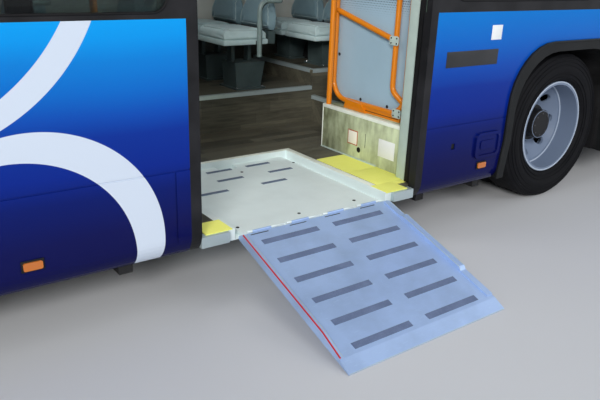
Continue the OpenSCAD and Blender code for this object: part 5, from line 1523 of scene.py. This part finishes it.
@dataclass
class RampDetail(Assembly):
    """Anti-slip strips, screws and edge lines of the ramp and of its tray."""

    hinge: Flat = (1225.0, 272.0)
    slope: float = math.radians(17.3184)
    x0: float = 1500.0
    x1: float = 2412.0
    plate: float = -1.0
    length: float = 856.0
    tray_z: float = 267.6
    door_floor_z: float = 300.2

    def on_ramp(self, x: float, along: float, above: float) -> Vector:
        """Point on the let-down ramp, by the distance from the hinge and the height square to the slope."""
        c, s = math.cos(self.slope), math.sin(self.slope)
        return BUS.at(x, self.hinge[0] + along * c + above * s, self.hinge[1] - along * s + above * c)

    def build(self) -> None:
        """Dress the ramp and the doorway floor and add their detail."""
        # The ramp's blue tint is painted shade and sky reflection
        self.dress("aluminium", "ramp")
        # The tray and the sill edges are pale with painted sunlight
        self.dress("tray", "ramp_tray")
        self.dress("bright", "sill_edges")
        self.dress("yellow", "sill_treads")
        self.dress("floor", "floor", "seat_platforms")
        self.strips()
        self.edges()
        self.tray()

    def strips(self) -> None:
        """Two staggered columns of anti-slip strips, and black blocks as painted shade in the slits beside
        the hinges.
        """
        rows = [(x - row * 2, 86 + 134 * row) for row in range(6) for x in (2172, 1762)]
        # The slits are black blocks: painted shade in the gaps beside the hinges
        slits = [(x, 22) for x in (2308, 2090, 1880, 1650)]
        for name, size, lift, spots, finish in (
            ("ramp_strips", (315, 31, 1.8), 0.5, rows, "grit"),
            ("hinge_slits", (96, 4, 1.2), 0.3, slits, "seal"),
        ):
            points = [self.on_ramp(x, along, self.plate + lift) for x, along in spots]
            made = Repeat(name, Copy.BLOCK, size, self.looks[finish])
            self.add(made.at(points, [(-self.slope, 0, 0)] * len(points)), finish, Slot.TRIM, "ramp")

    def edges(self) -> None:
        """Red line on the front rail, and pale tubes along the edges of the rails and of the lip as painted
        highlights.
        """
        line = [self.on_ramp(self.x1 - 4, u, a + 1.2) for u, a in ((36, 20), (664, 20), (788, 3))]
        self.add(Forms.tubes("rail_line", [line], 3.4, 8), "red_line", Slot.RED, "ramp")
        # Painted highlights: thin pale tubes along the edges of the rails and of the lip
        bright = []
        # Edges of the rails as (distance from the hinge, height), at one place across the ramp each
        for x, edge in (
            (self.x1 - 18.5, ((36, 19.6), (664, 19.6), (786, 2.4))),
            (self.x0 + 34.5, ((152, 9), (167, 19.6), (579, 19.6), (597, 7))),
            (self.x0 + 1.5, ((24, 7.5), (150, 8.6), (166, 19.6), (580, 19.6))),
        ):
            bright.append([self.on_ramp(x, u, a) for u, a in edge])
        bright.append([self.on_ramp(x, self.length - 1.5, -15) for x in (self.x0 + 2, self.x1 - 2)])
        self.add(Forms.tubes("rail_edges", bright, 1.7, 8), "bright", Slot.ALUMINIUM, "ramp")

    def tray(self) -> None:
        """Screws and strips of the tray that the folded ramp lies in, its rims and the door mat."""
        screws = ((2366, 1144), (2014, 1146), (1655, 1144), (1920, 435), (1544, 430))
        strips = ((2028, 355), (2042, 515), (1848, 672), (1760, 355), (1700, 515), (2230, 672))
        for name, copy, size, spots, finish, sides in (
            ("tray_screws", Copy.DISC, (17, 17, 2.0), screws, "seal", 16),
            ("tray_strips", Copy.BLOCK, (165, 28, 1.6), strips, "grit_pale", 12),
        ):
            points = [BUS.at(x, y, self.tray_z) for x, y in spots]
            self.add(Repeat(name, copy, size, self.looks[finish], sides).at(points), finish, Slot.TRIM)
        z = self.door_floor_z
        rims = [((1453, 243, z), (1493, 1210, z + 2.2)), ((1495, 243, z), (2459, 272, z + 2.2))]
        self.add(Forms.blocks("tray_rims", rims, 0.8), "nosing", Slot.ALUMINIUM)
        mats = [((1229, 838, z + 0.1), (1448, 1089, z + 3.8)), ((1229, 1089, z + 0.1), (1339, 1134, z + 3.8))]
        self.add(Forms.blocks("sill_mat", mats, 0.8), "yellow", Slot.YELLOW)


@dataclass(frozen=True)
class Padding:
    """Recipe of one padded shape: blown up once by a cloth simulation, then copied to its places."""

    voxel: float = 0.006
    pressure: float = 4.0
    cap: float = 0.011
    triangles: int = 4200
    frames: int = 20

    @staticmethod
    def loft(sections: Sequence[Sequence[Point]]) -> Piece:
        """Closed solid through rings of as many points, in the bus's millimetres.

        Args:
            sections: The rings, in order.

        Returns:
            The working object.
        """
        shape = bmesh.new()
        Forms.skin(shape, [[shape.verts.new(BUS.at(*p)) for p in ring] for ring in sections], True)
        return Forms.from_bmesh("padding_form", shape)

    def swell(self, form: Piece, held: Callable[[Vector], bool]) -> bpy.types.Mesh:
        """Blow the form up under pressure and keep the result as a plain mesh.

        Args:
            form: Closed form a little smaller than the pad, placed at the bus's own origin.
            held: Says of a point, in the bus's millimetres, whether it stays where it rests.

        Returns:
            The swollen mesh, decimated and smooth.
        """
        remesh = form.modifiers.new("remesh", "REMESH")
        remesh.mode, remesh.voxel_size = "VOXEL", self.voxel
        Forms.flatten(form)
        origin = BUS.at(0, 0, 0)
        rest = [v.co.copy() for v in form.data.vertices]
        fixed = [i for i, p in enumerate(rest) if held((p - origin) * 1000)]
        form.vertex_groups.new(name="held").add(fixed, 1.0, "REPLACE")
        cloth = form.modifiers.new("cloth", "CLOTH").settings
        cloth.use_pressure, cloth.uniform_pressure_force = True, self.pressure
        cloth.vertex_group_mass = "held"
        cloth.effector_weights.gravity = 0.0
        for frame in range(1, self.frames + 1):
            bpy.context.scene.frame_set(frame)
        Forms.flatten(form)
        for vertex, place in zip(form.data.vertices, rest):
            move = vertex.co - place
            if move.length > self.cap:
                vertex.co = place + move.normalized() * self.cap
        bpy.context.scene.frame_set(1)
        smooth = form.modifiers.new("smooth", "SMOOTH")
        smooth.factor, smooth.iterations = 0.5, 6
        thin = form.modifiers.new("thin", "DECIMATE")
        thin.ratio = min(1.0, self.triangles / max(1, 2 * len(form.data.polygons)))
        Forms.flatten(form)
        form.data.shade_smooth()
        return Forms.taken(form)

    @staticmethod
    def welt(mesh: bpy.types.Mesh, outline: Sequence[Point], way: Point) -> bpy.types.Mesh:
        """Piping laid on a swollen mesh.

        Args:
            mesh: The swollen mesh.
            outline: Points beside it, in the bus's millimetres.
            way: Direction in which they are sent onto it.

        Returns:
            The piping's mesh.
        """
        probe = Forms.link("welt_probe", mesh.copy())
        hits = Forms.cast(probe, [BUS.at(*p) for p in outline], way)
        bpy.data.objects.remove(probe)
        return Forms.taken(Forms.tubes("welt_form", [[place for place, _ in hits]], 3.2, 8, True))


@dataclass
class Cabin(Assembly):
    """Seats, rails, partition, box and the driver's place."""

    # Middle of each passenger seat's cushion and height of the cushion's underside
    seats_at: tuple[tuple[float, float, float], ...] = (
        *((x, y, 921) for x in (1450, 2230, 3010, 3790, 680) for y in (-535, -980)),
        *((-1250, s * y, 1358) for y in (960, 515) for s in (-1, 1)),
        *((-2450, y, 1358) for y in (-955, -477.5, 0, 477.5, 955)),
    )
    # Height of a seat over its floor, and of the lower seats at this place
    pedestal: float = 358.0
    low_pedestal: float = 236.0
    low_x: float = 680.0
    aisle_y: float = -535.0
    driver_at: tuple[float, float, float] = (6420.0, -690.0, 520.3)
    # Middle of the dials and of the steering wheel (x and z) and the wheel's rake in degrees
    dials_at: Flat = (6978, 986)
    wheel_at: Flat = (6850, 1180)
    wheel_rake: float = 17.0
    # Face of the box beside the doorway, and middle of the guard that stands on it
    box_x: float = 1226.0
    guard_x: float = 1156.0
    # Screws of the guard's board and middles of its brackets: y and z
    board_screws: tuple[Flat, ...] = (
        (332, 1240), (332, 900), (560, 652), (800, 652), (332, 1620), (560, 1916), (800, 1916), (934, 1700),
    )
    brackets: tuple[tuple[str, float, float], ...] = (("upper", 850, 1041), ("lower", 916, 636))
    # Heights of the seat back's sections with their half width, front and rear, from the cushion
    back: tuple[tuple[float, float, float, float], ...] = (
        (60, 190, -220, -262), (90, 195, -202, -267), (150, 195, -209, -275), (199, 176, -217, -280),
        (300, 112, -232, -291), (400, 107, -246, -300), (470, 104, -257, -306), (530, 102, -270, -310),
        (556, 90, -279, -311), (572, 70, -288, -310), (579, 46, -293, -306),
    )
    driver_back: tuple[tuple[float, float, float, float], ...] = (
        (440, 215, -186, -280), (520, 228, -202, -296), (700, 228, -236, -326), (860, 214, -268, -354),
        (960, 170, -292, -374), (1010, 130, -304, -384), (1100, 122, -338, -404), (1136, 100, -360, -408),
    )
    # Outlines of the cushions from the side: x and z
    cushion: tuple[Flat, ...] = (
        (-192, 6), (-200, 44), (-174, 63), (124, 68), (146, 58), (154, 38), (140, 6),
    )
    driver_cushion: tuple[Flat, ...] = (
        (-225, 342), (-250, 378), (-160, 410), (236, 428), (258, 398), (238, 332), (60, 333),
    )

    def build(self) -> None:
        """Dress the inside and add the soft seats."""
        self.dress("orange", "handrails", "partition_frame")
        self.dress("board", "partition_board")
        self.dress("shell", "seat_frames", "seat_cushions", "driver_seat")
        self.dress("dash", "dashboard", "steering_wheel")
        self.dress("post", "door_guides")
        self.box_cover()
        self.partition()
        self.headlining()
        self.instruments()
        self.seats()
        self.driver()

    def box_cover(self) -> None:
        """Floor covering, nosings, blank plates, key hole and joint of the box beside the doorway."""
        x = self.box_x
        for name, finish, slot, bevel, *corners in (
            ("box_cover", "box", Slot.BOARD, 0.6, (x + 0.3, 302, 303), (x + 2, 1088, 583),
             (604, 302, 584.3), (x, 1088, 586)),
            ("box_nosing", "nosing", Slot.ALUMINIUM, 1.2, (x - 22, 300, 584.4), (x + 4.5, 1088, 588),
             (x + 1, 300, 566), (x + 4.5, 1088, 587), (x - 14, 298, 302), (x + 4, 301.8, 586),
             (x + 1, 298, 302), (x + 4, 308, 566)),
            ("box_foot_line", "post", Slot.ALUMINIUM, 1.5, (x + 2, 302, 302), (x + 10, 836, 311)),
            ("box_plate", "plate", Slot.ROOF, 0.5, (x + 2, 846, 374), (x + 3.6, 983, 480)),
            ("box_plate_edge", "red_edge", Slot.RED, 0.5, (x + 2, 564, 387), (x + 3.2, 657, 478)),
            ("box_plate_small", "plate_warm", Slot.ROOF, 0.5, (x + 2.4, 570, 393), (x + 3.8, 651, 472)),
        ):
            self.add(Forms.blocks(name, zip(corners[::2], corners[1::2]), bevel), finish, slot)
        ring = [(0.2, -1), (0.2, 0.8), (14, 1.2), (17, 0.4), (17, -1)]
        hole = Forms.turned("box_key_hole", [(ring, BUS.at(x + 2.2, 672, 366), (1, 0, 0))], 24)
        self.add(hole, "bolt", Slot.TRIM)
        line = [BUS.at(x + 2.2, 728, z) for z in (392, 480)]
        self.add(Forms.tubes("box_joint", [line], 1.6, 6), "seal", Slot.TRIM)

    def partition(self) -> None:
        """Screws, brackets and a black line as painted shade in the groove of the guard behind the doorway,
        and the cover of its post.
        """
        x = self.guard_x
        form = [(0.2, -1), (0.2, 3), (8, 3), (10, 1), (10, -1)]
        screws = [(form, BUS.at(x - 16.3, y, z), (1, 0, 0)) for y, z in self.board_screws]
        self.add(Forms.turned("board_screws", screws, 20), "bolt", Slot.TRIM)
        bolts = []
        for name, y, z in self.brackets:
            plate = [(x + 16.4, a, b) for a, b in Forms.round_rect(y - 36, z - 26, y + 36, z + 26, 12)]
            self.add(Forms.prism("bracket_" + name, [plate], (3, 0, 0), 0.8), "post", Slot.ALUMINIUM)
            bolts += [BUS.at(x + 20, y + a, z + b) for a in (-22, 22) for b in (-14, 14)]
        made = Repeat("bracket_bolts", Copy.DOME, (9, 9, 9), self.looks["bolt"]).at(bolts)
        self.add(made, "bolt", Slot.TRIM)
        post = [((self.box_x + 1, 1044, 303), (1267, 1131, 2228))]
        self.add(Forms.blocks("door_post_cover", post, 9), "post", Slot.ALUMINIUM)
        # Painted shade: a black line along the groove of the guard
        line = [BUS.at(x + 12.4, y, 602) for y in (462, 930)]
        self.add(Forms.tubes("beam_groove", [line], 1.8, 6), "seal", Slot.TRIM)

    def headlining(self) -> None:
        """Ceiling panels under the roof with two long lamp strips."""
        shape = bmesh.new()
        rows = []
        for x in range(-2600, 7001, 400):
            starts = [BUS.at(x, y, BUS.window_top_z + 70) for y in range(-1150, 1151, 100)]
            hits = Forms.cast(self.nodes["roof"], starts, (0, 0, 1))
            rows.append([shape.verts.new(place - Vector((0, 0, 0.004))) for place, _ in hits])
        for a, b in zip(rows, rows[1:]):
            if len(a) == len(b):
                for k in range(len(a) - 1):
                    shape.faces.new((a[k], a[k + 1], b[k + 1], b[k]))
        bmesh.ops.solidify(shape, geom=list(shape.faces), thickness=0.002)
        self.add(Forms.from_bmesh("headlining", shape), "headlining", Slot.ROOF)
        strips = []
        for y0, y1 in ((560, 700), (-700, -560)):
            strips += [((x, y0, 2700), (x + 1080, y1, 2726)) for x in range(-2400, 5801, 1150)]
        self.add(Forms.blocks("ceiling_lamps", strips, 6), "lamp_strip", Slot.CLEAR)

    def instruments(self) -> None:
        """Dials without marks and the hub of the steering wheel."""
        y = self.driver_at[1]
        x, z = self.dials_at
        dials = []
        for offset, r in ((-105, 52), (0, 40), (105, 52)):
            form = [(r, -3), (r, 3), (r - 4, 5), (r - 7, 2), (0.2, 1.2), (0.2, -3)]
            dials.append((form, BUS.at(x, y + offset, z), (-0.48, 0, 0.87)))
        self.add(Forms.turned("dials", dials), "dash", Slot.DASH)
        cap = [(0.2, -14), (0.2, 20), (48, 16), (62, 4), (62, -14)]
        rake = math.radians(self.wheel_rake)
        x, z = self.wheel_at
        wheel = (cap, BUS.at(x, y, z), (-math.sin(rake), 0, math.cos(rake)))
        self.add(Forms.turned("wheel_cap", [wheel]), "trim", Slot.DASH)

    def pad(self, name: str, mesh: bpy.types.Mesh, at: Point, finish: str, node: str) -> None:
        """Add one copy of a swollen mesh as a padded piece.

        Args:
            name: Name of the piece.
            mesh: The swollen mesh at the bus's own origin.
            at: Place of the copy in millimetres.
            finish: Key of the finish.
            node: CAD node that it stands for.
        """
        copy = mesh.copy()
        copy.transform(Matrix.Translation(Vector(at) / 1000))
        piece = self.add(Forms.link(name, copy), finish, Slot.FABRIC, replaces=(node,))

    def trims(
        self, name: str, mesh: bpy.types.Mesh, places: Sequence[Point], finish: str, slot: Slot
    ) -> None:
        """Add copies of a small mesh at several places as one piece.

        Args:
            name: Name of the piece.
            mesh: The mesh at the bus's own origin.
            places: Places of the copies in millimetres.
            finish: Key of the finish.
            slot: Material slot of the record.
        """
        shape = bmesh.new()
        for at in places:
            copy = mesh.copy()
            copy.transform(Matrix.Translation(Vector(at) / 1000))
            shape.from_mesh(copy)
        self.add(Forms.from_bmesh(name, shape, 60), finish, slot)

    @staticmethod
    def cushion_form(side: Sequence[Flat], half: float) -> Piece:
        """Form of a cushion: its outline from the side, pushed across the seat."""
        return Padding.loft([[(x, y, z) for x, z in side] for y in (-half, half)])

    @staticmethod
    def back_form(steps: Sequence[tuple[float, float, float, float]]) -> Piece:
        """Form of a back through its sections."""
        return Padding.loft([[(f, -w, z), (f, w, z), (r, w, z), (r, -w, z)] for z, w, f, r in steps])

    def seats(self) -> None:
        """Cushions and backs of the passenger seats with their piping, pans, bolts and handles."""
        places = self.seats_at
        cushion = Padding().swell(self.cushion_form(self.cushion, 192), lambda p: p.z < 11)
        back = Padding().swell(self.back_form(self.back), lambda p: p.x < -244 - 0.11 * p.z)
        # Cushions take the pale vinyl as painted sunlight, the backs the dark copy as painted shade
        for i, place in enumerate(places):
            self.pad(f"cushion_{i + 1:02d}", cushion, place, "seat", "seat_cushions")
            self.pad(f"seat_back_{i + 1:02d}", back, place, "seat_back", "seat_cushions")
        dense = Forms.densify(Forms.round_rect(-168, -174, 116, 174, 34, 5), 14)
        welt = Padding.welt(cushion, [(x, y, 140) for x, y in dense], (0, 0, -1))
        outline = [(w - 12, z) for z, w, _, _ in self.back[1:]]
        dense = Forms.densify(outline + [(-y, z) for y, z in reversed(outline)], 16)
        edge = Padding.welt(back, [(200, y, z) for y, z in dense], (-1, 0, 0))
        pan = Forms.taken(Forms.blocks("pan_form", [((-204, -199, -32), (153, 199, 5))], 9))
        self.trims("seat_pans", pan, places, "seat", Slot.SHELL)
        spots = []
        for x, y, z in places:
            foot = z - (self.low_pedestal if x == self.low_x else self.pedestal) + 14
            spots += [BUS.at(x + dx, y + dy, foot) for dx in (-218, -4) for dy in (-106, 106)]
        made = Repeat("pedestal_bolts", Copy.DOME, (16, 16, 10), self.looks["chrome"]).at(spots)
        self.add(made, "chrome", Slot.RIM)
        path = Forms.rounded([(-116, 222.3, -112), (-116, 222.3, 262), (-286, 222.3, 262)], 85, 8)
        handle = Forms.taken(Forms.tubes("handle_form", [path], 17.8, 14))
        aisle = [place for place in places if place[1] == self.aisle_y]
        self.trims("seat_handles", handle, aisle, "handle", Slot.SHELL)
        self.trims("cushion_piping", welt, places, "piping", Slot.FABRIC)
        self.trims("back_piping", edge, places, "piping", Slot.FABRIC)

    def driver(self) -> None:
        """Driver's seat: padded cushion and back on a shell, a bellows and a base plate."""
        x, y, z = self.driver_at
        padding = Padding(0.008, triangles=6000)
        mesh = padding.swell(self.cushion_form(self.driver_cushion, 230), lambda p: p.z < 343)
        self.pad("driver_cushion", mesh, self.driver_at, "driver", "driver_seat")
        mesh = padding.swell(self.back_form(self.driver_back), lambda p: p.x < -290 - 0.17 * (p.z - 440))
        self.pad("driver_back", mesh, self.driver_at, "driver", "driver_seat")
        folds = [(96 + 14 * (i % 2), 34 + 22 * i) for i in range(13)]
        bellows = [(0.2, 34)] + folds + [(0.2, 298)]
        piece = Forms.turned("driver_bellows", [(bellows, BUS.at(x, y, z), (0, 0, 1))])
        self.add(piece, "seal", Slot.TRIM, replaces=("driver_seat",))
        plates = [
            ((x - 198, y - 148, z + 0.2), (x + 198, y + 148, z + 20)),
            ((x - 190, y - 180, z + 298), (x + 200, y + 180, z + 329)),
            ((x - 240, y - 238, z + 380), (x - 205, y - 232, z + 480)),
        ]
        piece = Forms.blocks("driver_base", plates, 4)
        self.add(piece, "shell", Slot.SHELL, replaces=("driver_seat",))


@dataclass
class Doors(Assembly):
    """Door leaves with their glass and rubber edges."""

    # Middle door's leaves: body, rear edge, front edge and the way to the other leaf
    leaves: tuple[tuple[str, float, float, int], ...] = (
        ("mid_door_rear", 633, 1290, 1), ("mid_door_front", 2610, 3267, -1),
    )
    edge_z: Flat = (316.0, 2226.0)
    # Both faces of a leaf's window rubber
    rubber_ys: Flat = (1172.6, 1137.4)

    def build(self) -> None:
        """Dress the leaves and add their rubbers."""
        for node in self.nodes:
            if "_leaf_" in node:
                self.dress("frame", node)
        self.dress("leaf_glass", "mid_glass_front", "mid_glass_rear", "front_glass_a", "front_glass_b")
        z0, z1 = self.edge_z
        for body, x0, x1, meet in self.leaves:
            edge = x1 + 0.2 if meet > 0 else x0 - 0.2
            lip0, lip1 = sorted((edge, edge + meet * 2.2))
            rubber = Forms.blocks(body + "_rubber", [((lip0, 1141, z0), (lip1, 1169, z1))], 0.6)
            self.add(rubber, "seal", Slot.TRIM, body)
            inner = x1 - 26 if meet > 0 else x0 + 8
            line = Forms.blocks(body + "_edge", [((inner, 1172.2, z0), (inner + 18, 1174, z1))], 0.6)
            self.add(line, "leaf_edge", Slot.ALUMINIUM, body)
            rect = Forms.round_rect(x0 + 80, 640, x1 - 80, 2120, 60)
            paths = [[BUS.at(x, y, z) for x, z in rect] for y in self.rubber_ys]
            self.add(Forms.tubes(body + "_window_rubber", paths, 4.5, 8, True), "seal", Slot.TRIM, body)


@dataclass
class Studio:
    """Pale floor, soft lights and the camera at the photograph's place."""

    lens: float = 38.4796
    sensor: float = 36.0
    reach: float = 200.0
    place: tuple[float, float, float] = (3772.99, 3538.28, 1442.26)
    yaw: float = 0.63486
    pitch: float = 0.35595
    roll: float = 0.03553
    # Half the floor's width, and its drop below the ground plane, in metres
    floor_r: float = 60.0
    floor_drop: float = 0.0005
    # Name, place, target, size in metres, power in watts and colour
    lamps: tuple[tuple[str, Point, Point, float, float, Colour], ...] = (
        ("key", (16500, 17500, 11000), (2000, 0, 700), 6.5, 3900, (1.0, 0.98, 0.95)),
        ("fill", (-9000, 15000, 9000), (1000, 0, 900), 9.0, 700, (0.95, 0.97, 1.0)),
        ("front", (24000, -4000, 9000), (7000, 0, 1500), 16.0, 1000, (1.0, 0.98, 0.97)),
        ("far", (3000, -20000, 12000), (2000, 0, 1200), 18.0, 2300, (0.97, 0.98, 1.0)),
        ("back", (-20000, -3000, 9000), (-2900, 0, 1500), 16.0, 1300, (0.97, 0.98, 1.0)),
        ("cabin", (2450, 500, 2150), (1750, 450, 300), 0.9, 10, (1.0, 0.99, 0.95)),
    )

    def camera(self) -> None:
        """Set the camera."""
        data = bpy.data.cameras.new("camera")
        data.lens, data.sensor_width, data.clip_end = self.lens, self.sensor, self.reach
        cam = bpy.data.objects.new("camera", data)
        bpy.context.scene.collection.objects.link(cam)
        level = math.cos(self.pitch)
        ahead = Vector((-math.sin(self.yaw) * level, -math.cos(self.yaw) * level, -math.sin(self.pitch)))
        right = Vector((-math.cos(self.yaw), math.sin(self.yaw), 0))
        up = right.cross(ahead)
        side = right * math.cos(self.roll) + up * math.sin(self.roll)
        top = -right * math.sin(self.roll) + up * math.cos(self.roll)
        turn = Matrix((side, top, -ahead)).transposed().to_4x4()
        cam.matrix_world = Matrix.Translation(BUS.at(*self.place)) @ turn
        bpy.context.scene.camera = cam

    def lights(self) -> None:
        """Soft lamps and a pale world."""
        scene = bpy.context.scene
        scene.view_settings.view_transform = "Standard"
        world = bpy.data.worlds.new("studio")
        world.use_nodes = True
        scene.world = world
        tree = world.node_tree
        back = tree.nodes["Background"]
        back.inputs[0].default_value = (*SKY, 1)
        path = tree.nodes.new("ShaderNodeLightPath")
        strength = tree.nodes.new("ShaderNodeMapRange")
        strength.inputs[3].default_value, strength.inputs[4].default_value = SKY_LIGHT, SKY_SEEN
        tree.links.new(path.outputs["Is Camera Ray"], strength.inputs[0])
        tree.links.new(strength.outputs[0], back.inputs[1])
        for name, place, target, size, power, colour in self.lamps:
            data = bpy.data.lights.new(name, "AREA")
            data.size, data.energy, data.color = size, power, colour
            lamp = bpy.data.objects.new(name, data)
            scene.collection.objects.link(lamp)
            lamp.visible_camera = False
            lamp.visible_transmission = name != "cabin"
            at = BUS.at(*place)
            lamp.location = at
            lamp.rotation_euler = (BUS.at(*target) - at).to_track_quat("-Z", "Y").to_euler()

    def floor(self, looks: Looks) -> None:
        """A wide pale floor under the tyres.

        Args:
            looks: The finishes.
        """
        mesh = bpy.data.meshes.new("floor_plane")
        r, z = self.floor_r, -self.floor_drop
        mesh.from_pydata([(-r, -r, z), (r, -r, z), (r, r, z), (-r, r, z)], [], [(0, 1, 2, 3)])
        mesh.materials.append(looks["stage"])
        Forms.link("floor_plane", mesh)


def main() -> None:
    """Build the dressed bus."""
    logging.basicConfig(level=logging.INFO, format="%(message)s")
    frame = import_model()
    looks = Looks()
    studio = Studio()
    studio.camera()
    studio.lights()
    studio.floor(looks)
    builders: tuple[type[Assembly], ...] = (Shell, Wheels, RampDetail, Cabin, Doors)
    for kind in builders:
        part = kind(looks, frame["nodes"])
        part.build()
        LOG.info("%s: %d pieces", kind.__name__, len(part.made))


if __name__ == "__main__":
    main()
